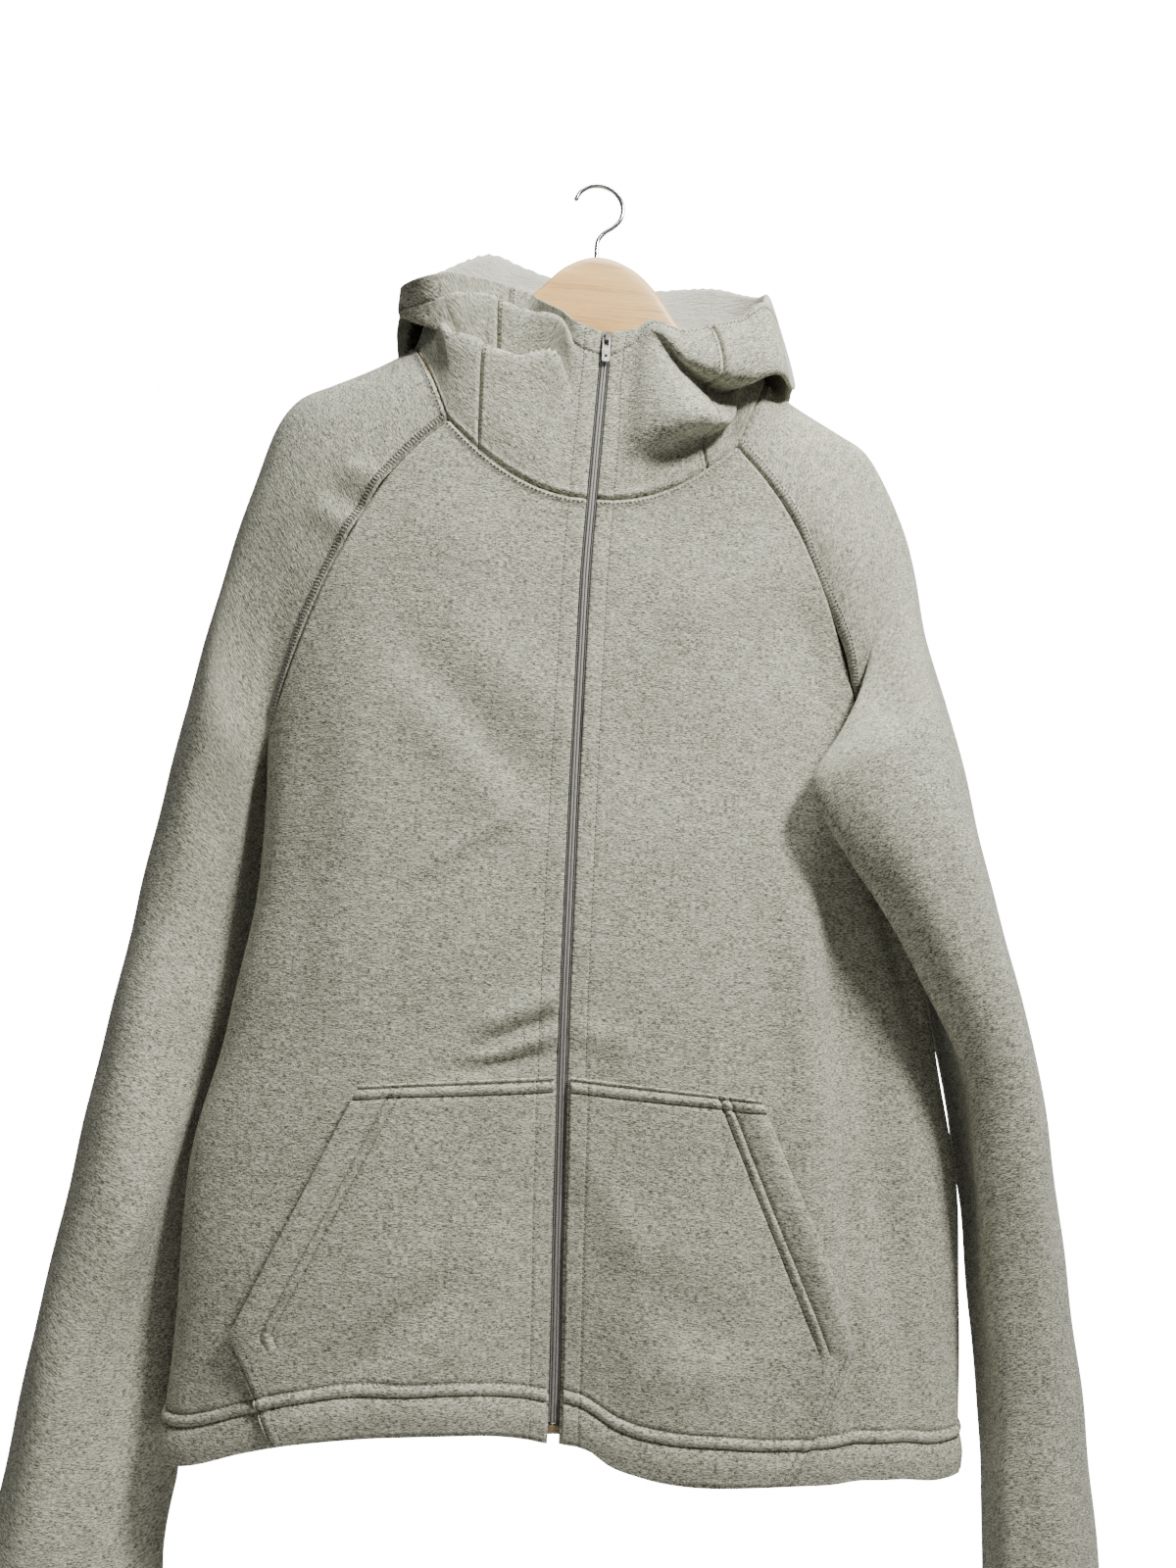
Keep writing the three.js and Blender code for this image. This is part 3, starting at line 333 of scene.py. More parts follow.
def raglan_end(side, table, t, in_front):
    """Height and angle of a raglan seam at a share of its length."""
    z = table.read("t", t, "z")
    x = np.where(t >= 1, half_width(side, z), table.read("t", t, "x"))
    return z, angle_at(side, x, z, in_front)


def front_surface(side, s, v):
    """A front from the zip (s 0) to the sleeve or side seam (s 1), and from the neck (v 0) past the
    underarm (v 1) to the hem (v 2). Rows sweep from the scooped neck to level below the arm."""
    s, v = s[None, :], v[:, None]
    t = np.minimum(v, 1)
    under = side * half_width(side, UNDERARM_Z)
    end_z, end_angle = raglan_end(side, RAGLAN_FRONT, t, True)
    across = np.sin(np.radians(s * end_angle)) / np.sin(np.radians(end_angle))
    scoop = across ** mix(NECK_SCOOP, 1, t)
    upper = mix(mix(NECK_FRONT_Z, UNDERARM_Z, t), end_z, scoop)
    f = np.clip(v - 1, 0, 1)
    low_angle = side_seam_angle(side, mix(UNDERARM_Z, hem_z(under), f))
    low_across = np.sin(np.radians(s * low_angle)) / np.sin(np.radians(low_angle))
    lower = mix(UNDERARM_Z, hem_z(under * low_across), f)
    z = np.where(v <= 1, upper, lower)
    points = body_point(side, s * np.where(v <= 1, end_angle, low_angle), z)
    points[..., 0] += side * ZIP_HALF_GAP * (1 - s) ** 3
    return points


def back_half(side, s, v):
    """One half of the back from the middle (s 0) to the seam (s 1), with v as on the fronts."""
    s, v = s[None, :], v[:, None]
    t = np.minimum(v, 1)
    under = side * half_width(side, UNDERARM_Z)
    end_z, end_angle = raglan_end(side, RAGLAN_BACK, t, False)
    f = np.clip(v - 1, 0, 1)
    low_end = mix(UNDERARM_Z, hem_z(under), f)
    low_middle = mix(UNDERARM_Z, hem_z(BACK_HEM_X), f)
    upper = mix(mix(NECK_BACK_Z, UNDERARM_Z, t), end_z, s * s)
    z = np.where(v <= 1, upper, mix(low_middle, low_end, s * s))
    angle = mix(180, np.where(v <= 1, end_angle, side_seam_angle(side, low_end)), s)
    return body_point(side, angle, z)


def back_surface(s, v):
    """The whole back, from the wearer's right seam to the left one."""
    right = back_half(LEFT, s[::-1], v)
    left = back_half(RIGHT, s[1:], v)
    return np.concatenate([right, left], axis=1)


def quarter_knot(start, crest, degrees):
    """A point part of the way round a quarter of an ellipse from the seam to the crest."""
    across = sin(radians(degrees))
    forward = 1 - cos(radians(degrees))
    shares = np.array([across, forward, across])
    return mix(start, crest, shares)


def section_knot(side, table, t, name, share):
    at = np.maximum(1, t)
    z = mix(table.read("t", at, "zu"), table.read("t", at, "zo"), share)
    return point(side * table.read("t", at, name + "x"), table.read("t", at, name + "y"), z)


def sleeve_surface(side, w, t):
    """A sleeve: rings through eight knots, open at the raglan seams above the underarm (t 1)."""
    table = SLEEVE_RIGHT_WEARER if side == LEFT else SLEEVE_LEFT_WEARER
    up = np.minimum(1, t)
    seam = section_knot(side, table, t, "u", 0)
    raglan = t[:, None] < 1
    front_z, front_angle = raglan_end(side, RAGLAN_FRONT, up, True)
    back_z, back_angle = raglan_end(side, RAGLAN_BACK, up, False)
    front = np.where(raglan, body_point(side, front_angle, front_z), seam)
    back = np.where(raglan, body_point(side, back_angle, back_z), seam)
    swell = CREST_SWELL * smoothstep(0.4, 0.62, up) if side == RIGHT else 0
    crest_up = point(side * (SLEEVE_CREST.read("t", up, "x") + swell), 0, SLEEVE_CREST.read("t", up, "z"))
    crest_table = section_knot(side, table, t, "o", 1)
    crest = mix(crest_up, crest_table, smoothstep(0.8, 1, t)[:, None])
    blend = smoothstep(0.62, 1, t)[:, None]

    def knot(name, share, start, degrees):
        return mix(quarter_knot(start, crest_up, degrees), section_knot(side, table, t, name, share), blend)

    knots = np.stack([
        front,
        knot("a", -0.2, front, 14),
        knot("e", -0.38, front, 30),
        knot("m", 0.6, front, 60),
        crest,
        knot("k", 0.6, back, 60),
        knot("l", 0.25, back, 30),
        back,
    ], axis=1)
    return catmull(knots, w)


def neck_line(side, count):
    """The neck seam from the zip round to the centre back, with the place of the collar's side seam."""
    zero = np.zeros(1)
    full = np.linspace(0, 1, 160)
    front = front_surface(side, full, zero)[0]
    sleeve = sleeve_surface(side, full, zero)[0][1:]
    back = back_half(side, full[::-1], zero)[0][1:]
    line = np.concatenate([front, sleeve, back])
    lengths = np.concatenate([[0], np.cumsum(np.linalg.norm(np.diff(line, axis=0), axis=1))])
    u = np.linspace(0, 1, count)
    seam = np.stack([np.interp(u * lengths[-1], lengths, line[:, k]) for k in range(3)], axis=1)
    split = np.interp(COLLAR_SEAM_SHARE, full, lengths[: len(full)]) / lengths[-1]
    return seam, u, split


def hood_surface(side, seam, u, h):
    """The collar and hood: a folded profile of seven knots over each point of the neck seam, from the
    hood's edge (h 0) down to the seam (h 1)."""
    table = HOOD_LEFT if side == LEFT else HOOD_RIGHT
    heading = np.radians(table.read("u", u, "heading"))
    out = point(side * np.sin(heading), -np.cos(heading), 0)
    lean = np.maximum(0, 1 - u / COLLAR_LEAN_END)
    knots = [seam]
    for fold in range(1, 7):
        knot = seam + out * table.read("u", u, f"o{fold}")[:, None]
        knot[:, 2] += table.read("u", u, f"h{fold}")
        knot[:, 0] += (zip_x(knot[:, 2]) - zip_x(seam[:, 2])) * lean
        knots.append(knot)
    return catmull(np.stack(knots, axis=1), 1 - h).transpose(1, 0, 2)


# Panels: grids with distances to their four edges, folds and relief


def respaced(points, near, far, step):
    """Even distances along every row of a grid, with stated distances kept near its two ends."""
    gaps = np.linalg.norm(np.diff(points[..., :3], axis=1), axis=2)
    length = np.concatenate([np.zeros((len(points), 1)), np.cumsum(gaps, axis=1)], axis=1)
    total = length[:, -1:]
    near, far = np.array(near, float), np.array(far, float)[::-1]
    count = max(3, int((total.max() - near[-1] - far[0]) / step))
    shares = np.linspace(0, 1, count + 1)[1:-1]
    shrink = np.minimum(1, 0.8 * total / (near[-1] + far[0]))
    start, end = near[-1] * shrink, total - far[0] * shrink
    places = np.concatenate([near * shrink, start + (end - start) * shares, total - far * shrink], axis=1)
    out = np.empty((len(points), places.shape[1], points.shape[2]))
    for row, (place, known) in enumerate(zip(places, length)):
        for k in range(points.shape[2]):
            out[row, :, k] = np.interp(place, known, points[row, :, k])
    return out


def edge_distances(points):
    """Distances along each row from its two ends."""
    gaps = np.linalg.norm(np.diff(points, axis=1), axis=2)
    length = np.concatenate([np.zeros((len(points), 1)), np.cumsum(gaps, axis=1)], axis=1)
    return length, length[:, -1:] - length


def grid_normals(points, flip):
    """Unit normals from the cross product of the grid's two directions."""
    across = np.gradient(points, axis=1)
    down = np.gradient(points, axis=0)
    normals = np.cross(down, across) * flip
    return normals / np.maximum(np.linalg.norm(normals, axis=2, keepdims=True), 1e-9)


def bell(distance, centre, width):
    return np.exp(-(((distance - centre) / width) ** 2))


SEAM_NEAR = (0, 0.2, 0.6, 1.1, 1.7, 2.4, 3.1, 3.8, 4.6, 5.6, 6.6, 7.6, 9.0)
ZIP_NEAR = (0, 0.15, 0.5, 1.0, 1.6, 2.6, 4.0, 6.0, 8.5, 10.4, 11.4, 12.0, 12.6, 13.6, 15.5, 18.0)
HEM_NEAR = (
    0, 0.2, 0.7, 1.5, 2.6, 4.2, 7.0, 11.0, 15.0, 18.5, 20.6, 21.6, 22.2, 22.8, 23.8, 26.0, 28.2,
    29.2, 29.8, 30.4, 31.4, 33.5, 36.0,
)
POCKET_SIDE_NEAR = (
    0, 0.15, 0.5, 1.0, 1.8, 3.2, 6.0, 10.0, 14.0, 17.5, 19.6, 20.5, 21.1, 21.7, 23.0, 24.6, 26.0,
    27.2, 27.8, 28.4, 29.4, 31.5, 34.0,
)
POCKET_TOP_NEAR = (0, 0.15, 0.5, 1.0, 1.7, 2.3, 2.8, 3.4, 5.0, 7.0, 8.4, 9.3, 9.9, 10.5, 11.5, 13.5)


class Panel:
    """One sewn piece: a grid of points that a wall is built about."""

    def __init__(self, points, flip, wall):
        self.points = points
        self.flip = flip
        self.wall = wall
        self.normals = grid_normals(points, flip)
        self.start, self.end = edge_distances(points)
        turned = points.transpose(1, 0, 2)
        self.top, self.bottom = (d.T for d in edge_distances(turned))
        self.relief = np.zeros(points.shape[:2])
        self.uv = np.stack([self.start, self.bottom], axis=-1)

    def distance(self, edge):
        return getattr(self, edge)

    def band(self, edge, centre, width, height):
        """Raises or sinks a soft band that runs along an edge."""
        self.relief += height * bell(self.distance(edge), centre, width)

    def fold(self, x0, z0, x1, z1, width, height, facing):
        """A soft ridge or trough along a line seen from the front or back, fading out at its ends."""
        direction = np.array([x1 - x0, z1 - z0], float)
        size = np.hypot(*direction)
        along = ((self.points[..., 0] - x0) * direction[0] + (self.points[..., 2] - z0) * direction[1]) / size
        off = ((self.points[..., 0] - x0) * direction[1] - (self.points[..., 2] - z0) * direction[0]) / size
        fade = smoothstep(-0.45 * size, 0.25 * size, along) * smoothstep(1.45 * size, 0.75 * size, along)
        faces = smoothstep(-0.2, 0.4, facing * self.normals[..., 1])
        self.relief += height * bell(off, 0, width) * fade * faces

    def half_wall(self):
        """Half the wall's thickness, rounded off at the edges like a folded cloth's."""
        edge = np.minimum(np.minimum(self.start, self.end), np.minimum(self.top, self.bottom))
        half = self.wall / 2
        return half * np.sqrt(1 - (1 - np.clip(edge / half, 0, 1)) ** 2)

    def faces(self):
        """The outer and inner points."""
        half = self.half_wall()[..., None]
        shift = self.relief[..., None]
        return self.points + self.normals * (shift + half), self.points + self.normals * (shift - half)

    def line(self, edge, distance, start=0.0, stop=1.0):
        """Points and normals of the outer face at one distance from an edge, between two shares of it."""
        outer = self.faces()[0]
        field = self.distance(edge)
        normals = self.normals
        if edge in ("top", "bottom"):
            outer, normals, field = outer.transpose(1, 0, 2), normals.transpose(1, 0, 2), field.T
        if field[0, 0] > field[0, -1]:
            outer, normals, field = outer[:, ::-1], normals[:, ::-1], field[:, ::-1]
        rows = range(int(start * (len(field) - 1)), int(stop * (len(field) - 1)) + 1)
        found = [[np.interp(distance, field[row], grid[row, :, k]) for grid in (outer, normals) for k in range(3)]
                 for row in rows]
        found = np.array(found)
        return found[:, :3], found[:, 3:]


# Meshes


def new_mesh(name, points, faces, materials, uv=None, slots=None, smooth=True):
    """A mesh object from points in millimetres and lists of faces of one size."""
    mesh = bpy.data.meshes.new(name)
    mesh.vertices.add(len(points))
    mesh.vertices.foreach_set("co", (np.asarray(points, np.float32) * MM).ravel())
    sizes = np.concatenate([np.full(len(group), group.shape[1]) for group in faces])
    corners = np.concatenate([group.ravel() for group in faces])
    mesh.loops.add(len(corners))
    mesh.loops.foreach_set("vertex_index", corners.astype(np.int32))
    mesh.polygons.add(len(sizes))
    starts = np.concatenate([[0], np.cumsum(sizes)[:-1]])
    mesh.polygons.foreach_set("loop_start", starts.astype(np.int32))
    mesh.polygons.foreach_set("use_smooth", np.full(len(sizes), smooth))
    if slots is not None:
        mesh.polygons.foreach_set("material_index", slots.astype(np.int32))
    if uv is not None:
        layer = mesh.uv_layers.new(name="cloth")
        layer.data.foreach_set("uv", (np.asarray(uv)[corners] * MM).astype(np.float32).ravel())
    mesh.update(calc_edges=True)
    mesh.validate()
    for material in materials:
        mesh.materials.append(material)
    obj = bpy.data.objects.new(name, mesh)
    bpy.context.scene.collection.objects.link(obj)
    return obj


def grid_faces(index, turned=False):
    """Quads between neighbouring entries of a grid of vertex numbers."""
    a, b = index[:-1, :-1], index[1:, :-1]
    c, d = index[1:, 1:], index[:-1, 1:]
    order = (a, d, c, b) if turned else (a, b, c, d)
    return np.stack([part.ravel() for part in order], axis=1)


def shell(name, panel, materials):
    """A closed wall: an outer and an inner sheet that share their outermost ring of points."""
    outer, inner = panel.faces()
    rows, columns = panel.relief.shape
    index = np.arange(rows * columns).reshape(rows, columns)
    under = index.copy()
    count = (rows - 2) * (columns - 2)
    under[1:-1, 1:-1] = rows * columns + np.arange(count).reshape(rows - 2, columns - 2)
    points = np.concatenate([outer.reshape(-1, 3), inner[1:-1, 1:-1].reshape(-1, 3)])
    uv = np.concatenate([panel.uv.reshape(-1, 2), panel.uv[1:-1, 1:-1].reshape(-1, 2)])
    turned = panel.flip < 0
    front, behind = grid_faces(index, turned), grid_faces(under, not turned)
    slots = np.concatenate([np.zeros(len(front)), np.ones(len(behind))])
    return new_mesh(name, points, [front, behind], materials, uv, slots)


def swept(path, side, up, profile, closed_ends=True):
    """Rings of a profile at each point of a path. profile is path by ring by 2, along side and up."""
    ring = path[:, None] + profile[..., :1] * side[:, None] + profile[..., 1:] * up[:, None]
    count, around = profile.shape[:2]
    index = np.arange(count * around).reshape(count, around)
    faces = [grid_faces(np.concatenate([index, index[:, :1]], axis=1))]
    points = ring.reshape(-1, 3)
    if closed_ends:
        faces.append(index[:1, ::1])
        faces.append(index[-1:, ::-1])
    return points, faces


def line_frames(path, hint):
    """Unit sideways and upward directions along a path, upward as near as may be to the hint."""
    along = np.gradient(path, axis=0)
    along /= np.maximum(np.linalg.norm(along, axis=1, keepdims=True), 1e-9)
    side = np.cross(along, hint)
    side /= np.maximum(np.linalg.norm(side, axis=1, keepdims=True), 1e-9)
    return side, np.cross(side, along)


def even_points(path, normals, pitch):
    """Points, directions and normals at equal steps along a path."""
    lengths = np.concatenate([[0], np.cumsum(np.linalg.norm(np.diff(path, axis=0), axis=1))])
    places = np.arange(pitch, lengths[-1] - pitch / 2, pitch)
    at = np.stack([np.interp(places, lengths, path[:, k]) for k in range(3)], axis=1)
    up = np.stack([np.interp(places, lengths, normals[:, k]) for k in range(3)], axis=1)
    ahead = np.stack([np.interp(places + 0.5, lengths, path[:, k]) for k in range(3)], axis=1)
    along, side, up = ahead - at, None, up / np.linalg.norm(up, axis=1, keepdims=True)
    along /= np.maximum(np.linalg.norm(along, axis=1, keepdims=True), 1e-9)
    side = np.cross(along, up)
    side /= np.maximum(np.linalg.norm(side, axis=1, keepdims=True), 1e-9)
    return at, along, side, up


STITCH_RINGS = np.array([-0.5, -0.28, 0.28, 0.5])
STITCH_SIZES = np.array([0.35, 1.0, 1.0, 0.35])
STITCH_HEIGHTS = np.array([-0.5, 0.35, 0.35, -0.5])


def stitch_points(at, along, side, up, length, thick):
    """Small rounded bars, one at each place: four rings of four points each."""
    turns = np.array([0.25, 0.75, 1.25, 1.75]) * pi
    ring = np.stack([np.cos(turns), np.sin(turns)], axis=1) * thick / 2
    centre = at[:, None] + along[:, None] * (STITCH_RINGS * length)[None, :, None]
    centre = centre + up[:, None] * (STITCH_HEIGHTS * thick)[None, :, None]
    spread = STITCH_SIZES[None, :, None, None] * ring[None, None, :, :]
    points = centre[:, :, None] + spread[..., :1] * side[:, None, None] + spread[..., 1:] * up[:, None, None]
    return points.reshape(-1, 3)


def stitch_faces(count, offset):
    one = np.arange(16).reshape(4, 4)
    quads = grid_faces(np.concatenate([one, one[:, :1]], axis=1))
    caps = np.stack([one[0], one[-1][::-1]])
    block = np.concatenate([quads, caps])
    return (block[None] + (offset + 16 * np.arange(count))[:, None, None]).reshape(-1, 4)


def stitches(name, runs, material):
    """One object of stitches. Each run is (points, normals, pitch, length, thickness, across)."""
    points, faces, offset = [], [], 0
    for path, normals, pitch, length, thick, across in runs:
        at, along, side, up = even_points(path, normals, pitch)
        if across:
            along, side = side, along
        points.append(stitch_points(at, along, side, up, length, thick))
        faces.append(stitch_faces(len(at), offset))
        offset += 16 * len(at)
    return new_mesh(name, np.concatenate(points), [np.concatenate(faces)], [material])


# Shader maths


class Value:
    """A shader socket that can be added, multiplied and shaped like a number."""

    def __init__(self, look, socket):
        self.look = look
        self.socket = socket

    def maths(self, operation, *others):
        node = self.look.node("ShaderNodeMath", {"operation": operation}, dict(enumerate((self, *others))))
        return Value(self.look, node.outputs[0])

    def __add__(self, other):
        return self.maths("ADD", other)

    __radd__ = __add__

    def __mul__(self, other):
        return self.maths("MULTIPLY", other)

    __rmul__ = __mul__

    def __sub__(self, other):
        return self.maths("SUBTRACT", other)

    def __rsub__(self, other):
        return (self * -1) + other

    def between(self, low, high):
        """0 below low, 1 above high and a smooth step between."""
        node = self.look.node(
            "ShaderNodeMapRange",
            {"interpolation_type": "SMOOTHSTEP"},
            {0: self, 1: low, 2: high},
        )
        return Value(self.look, node.outputs[0])


class Look:
    """A material that is built node by node."""

    def __init__(self, name):
        self.material = bpy.data.materials.new(name)
        self.material.use_nodes = True
        self.tree = self.material.node_tree
        self.shader = self.tree.nodes["Principled BSDF"]

    def node(self, kind, settings=None, inputs=None):
        node = self.tree.nodes.new(kind)
        for key, value in (settings or {}).items():
            setattr(node, key, value)
        for key, value in (inputs or {}).items():
            self.feed(node.inputs[key], value)
        return node

    def feed(self, socket, value):
        if isinstance(value, Value):
            self.tree.links.new(value.socket, socket)
        elif isinstance(value, bpy.types.NodeSocket):
            self.tree.links.new(value, socket)
        else:
            socket.default_value = value

    def cloth_place(self, across, down):
        """The cloth's own coordinates, with one unit for each size in metres."""
        uv = self.node("ShaderNodeUVMap", {"uv_map": "cloth"})
        scaled = self.node("ShaderNodeVectorMath", {"operation": "MULTIPLY"},
                           {0: uv.outputs[0], 1: (1 / across, 1 / down, 1)})
        return scaled.outputs[0]

    def object_place(self, across, deep, down):
        place = self.node("ShaderNodeTexCoord")
        scaled = self.node("ShaderNodeVectorMath", {"operation": "MULTIPLY"},
                           {0: place.outputs["Object"], 1: (1 / across, 1 / deep, 1 / down)})
        return scaled.outputs[0]

    def noise(self, place, detail=2.0, roughness=0.5, distortion=0.0, flat=True):
        node = self.node(
            "ShaderNodeTexNoise",
            {"noise_dimensions": "2D" if flat else "3D"},
            {"Vector": place, "Scale": 1.0, "Detail": detail, "Roughness": roughness, "Distortion": distortion},
        )
        return Value(self, node.outputs[0])

    def colours(self, value, stops):
        """A smooth run of colours along a value."""
        node = self.node("ShaderNodeValToRGB", None, {0: value})
        ramp = node.color_ramp
        ramp.interpolation = "EASE"
        for i, (place, colour) in enumerate(stops):
            stop = ramp.elements[i] if i < 2 else ramp.elements.new(place)
            stop.position = place
            stop.color = (*colour, 1)
        return node.outputs[0]

    def bump(self, height, distance, strength=1.0, before=None):
        inputs = {"Height": height, "Distance": distance, "Strength": strength}
        if before is not None:
            inputs["Normal"] = before
        return self.node("ShaderNodeBump", None, inputs).outputs[0]

    def finish(self, **inputs):
        for key, value in inputs.items():
            self.feed(self.shader.inputs[key.replace("_", " ")], value)
        return self.material


def fleece_look(name, dark, middle, light, contrast, nap):
    """Brushed marl: short dark and light flecks across the cloth over soft cloudy patches."""
    look = Look(name)
    fleck = look.noise(look.cloth_place(0.0030, 0.00075), 2.0, 0.55, 0.15)
    fine = look.noise(look.cloth_place(0.0012, 0.00045), 1.0, 0.5)
    cloud = look.noise(look.cloth_place(0.012, 0.005), 2.0, 0.55, 0.3)
    patch = look.noise(look.cloth_place(0.075, 0.060), 1.0, 0.5)
    tone = (
        0.5
        + (fleck - 0.5) * (1.05 * contrast)
        + (fine - 0.5) * (0.70 * contrast)
        + (cloud - 0.5) * (0.30 * contrast)
        + (patch - 0.5) * 0.10
    )
    colour = look.colours(tone, [(0.20, dark), (0.80, light), (0.5, middle)])
    fuzz = look.noise(look.cloth_place(0.0011, 0.0009), 2.0, 0.6)
    pile = look.noise(look.cloth_place(0.0070, 0.0030), 2.0, 0.55)
    coarse = look.bump(pile, 0.0007 * nap)
    normal = look.bump(fuzz, 0.0004 * nap, 1.0, coarse)
    return look.finish(
        Base_Color=colour,
        Roughness=0.95,
        Sheen_Weight=0.12,
        Sheen_Roughness=0.6,
        Normal=normal,
        Specular_IOR_Level=0.12,
    )


def thread_look():
    look = Look("thread")
    grain = look.noise(look.object_place(0.0006, 0.0006, 0.0006), 1.0, 0.5, flat=False)
    colour = look.colours(grain, [(0.3, (0.13, 0.127, 0.112)), (0.7, (0.27, 0.262, 0.235))])
    return look.finish(Base_Color=colour, Roughness=0.8, Specular_IOR_Level=0.2)


def tape_look():
    """Woven zip tape: fine ribs along its length."""
    look = Look("zip_tape")
    weave = look.noise(look.object_place(0.0005, 0.002, 0.0012), 2.0, 0.5, flat=False)
    colour = look.colours(weave, [(0.25, (0.10, 0.098, 0.088)), (0.75, (0.23, 0.225, 0.205))])
    return look.finish(Base_Color=colour, Roughness=0.85, Normal=look.bump(weave, 0.0003))


def coil_look():
    look = Look("zip_coil")
    wear = look.noise(look.object_place(0.001, 0.001, 0.0008), 2.0, 0.5, flat=False)
    colour = look.colours(wear, [(0.2, (0.15, 0.147, 0.132)), (0.8, (0.36, 0.352, 0.325))])
    return look.finish(Base_Color=colour, Roughness=0.5, Normal=look.bump(wear, 0.00015))


def metal_look(name, dark, light, rough, metallic):
    """Cast and tumbled zip metal: soft cloudy tone and fine scratches."""
    look = Look(name)
    cloud = look.noise(look.object_place(0.002, 0.002, 0.002), 3.0, 0.6, flat=False)
    scratch = look.noise(look.object_place(0.0002, 0.0006, 0.004), 1.0, 0.5, flat=False)
    colour = look.colours(cloud, [(0.25, dark), (0.75, light)])
    return look.finish(
        Base_Color=colour,
        Metallic=metallic,
        Roughness=rough + (cloud - 0.5) * 0.2,
        Normal=look.bump(scratch, 0.00004),
    )


def wood_look():
    """Pale lacquered beech: long fine grain, short dark flecks and a broad change of tone."""
    look = Look("beech")
    broad = look.noise(look.object_place(0.22, 0.03, 0.018), 2.0, 0.5, 0.6, flat=False)
    grain = look.noise(look.object_place(0.060, 0.004, 0.0016), 4.0, 0.6, 0.8, flat=False)
    fleck = look.noise(look.object_place(0.007, 0.0016, 0.0007), 1.0, 0.5, flat=False)
    tone = 0.5 + (broad - 0.5) * 0.6 + (grain - 0.5) * 0.75 - fleck.between(0.62, 0.72) * 0.12
    colour = look.colours(tone, [(0.25, (0.40, 0.205, 0.055)), (0.8, (0.80, 0.50, 0.170)), (0.5, (0.66, 0.38, 0.105))])
    return look.finish(
        Base_Color=colour,
        Roughness=0.42 + (grain - 0.5) * 0.15,
        Coat_Weight=0.35,
        Coat_Roughness=0.25,
        Normal=look.bump(grain, 0.00012),
    )


# Pieces


def carry(obj, slot, *nodes):
    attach(obj, GARMENT)
    if nodes:
        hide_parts(*nodes)
    return obj


def spread(count):
    return np.linspace(0, 1, count)


def dense_rows():
    return np.concatenate([np.linspace(0, 1, 141)[:-1], np.linspace(1, 2, 181)])


FRONT_FOLDS = Table("x0 z0 x1 z1 width height", [
    [-91, -373, -8, -447, 22, 1.6],
    [-112, -400, -36, -480, 16, -1.4],
    [-114, -428, -40, -507, 18, 1.8],
    [-98, -540, -49, -507, 5, 0.8],
    [-92, -552, -44, -519, 9, -0.8],
    [-52, -640, -12, -622, 10, 2.6],
    [-49, -650, -14, -634, 5, -3.0],
    [-52, -661, -13, -645, 5, 2.0],
    [-66, -668, -13, -657, 4, -2.4],
    [150, -590, 172, -860, 14, 2.8],
    [178, -560, 198, -850, 11, -5.0],
    [218, -690, 236, -880, 10, -2.4],
    [-63, -798, -128, -854, 15, -3.2],
    [-41, -782, -88, -852, 15, 2.6],
    [-24, -696, -44, -785, 12, 2.0],
    [-60, -700, -86, -770, 16, -1.4],
    [157, -559, 179, -690, 18, 3.6],
    [176, -690, 196, -830, 20, 3.0],
    [194, -567, 214, -800, 16, -4.0],
    [210, -511, 246, -632, 7, -3.0],
    [226, -531, 255, -605, 6, 2.4],
    [8, -640, 41, -649, 9, 1.4],
    [46, -789, 122, -834, 20, -2.0],
    [18, -719, 52, -784, 14, 1.8],
    [70, -850, 140, -836, 14, 1.4],
    [-150, -420, -140, -600, 24, 1.2],
    [-176, -470, -172, -640, 18, -1.2],
    [60, -360, 130, -320, 26, 1.4],
    [150, -340, 176, -420, 16, -2.2],
    [-70, -330, -120, -300, 26, 1.0],
])
BACK_FOLDS = Table("x0 z0 x1 z1 width height", [
    [-150, -330, -120, -520, 22, -2.2],
    [-120, -360, -88, -560, 22, 1.8],
    [150, -330, 118, -530, 22, -2.4],
    [118, -370, 90, -560, 20, 1.8],
    [-60, -560, -84, -800, 30, -2.2],
    [20, -600, 36, -860, 30, 2.0],
    [110, -600, 136, -860, 26, -2.4],
    [-160, -600, -180, -860, 24, 1.8],
    [190, -620, 214, -860, 20, 1.8],
])
SLEEVE_FRONT_FOLDS = Table("x0 z0 x1 z1 width height", [
    [-169, -269, -141, -281, 8, 1.8],
    [-186, -300, -158, -318, 9, 1.6],
    [-176, -288, -150, -300, 6, -1.4],
    [-240, -430, -250, -560, 12, 1.6],
    [-262, -560, -252, -700, 14, -2.0],
    [-282, -640, -272, -780, 14, 1.8],
    [-246, -600, -258, -720, 10, 1.4],
    [-318, -860, -326, -960, 10, -1.4],
    [159, -301, 182, -372, 9, -2.6],
    [195, -296, 186, -400, 15, 3.4],
    [206, -395, 224, -468, 18, -2.6],
    [226, -320, 246, -440, 16, 1.6],
    [207, -509, 261, -603, 14, 2.2],
    [248, -520, 286, -620, 14, -1.8],
    [282, -640, 318, -760, 16, 1.4],
    [330, -760, 344, -900, 12, -1.6],
    [326, -900, 338, -1000, 10, 1.4],
])
SLEEVE_BACK_FOLDS = Table("x0 z0 x1 z1 width height", [
    [-200, -300, -230, -420, 14, -2.0],
    [-236, -520, -256, -640, 14, 1.8],
    [-252, -640, -280, -800, 12, -1.8],
    [200, -300, 236, -420, 14, -2.0],
    [262, -460, 286, -600, 14, 1.8],
    [300, -600, 326, -760, 12, -1.8],
    [330, -780, 350, -930, 12, 1.6],
])


FOLD_GAIN = 1.5


def apply_folds(panel, table, facing, strength):
    for x0, z0, x1, z1, width, height in table.data:
        panel.fold(x0, z0, x1, z1, width, FOLD_GAIN * height * strength, facing)


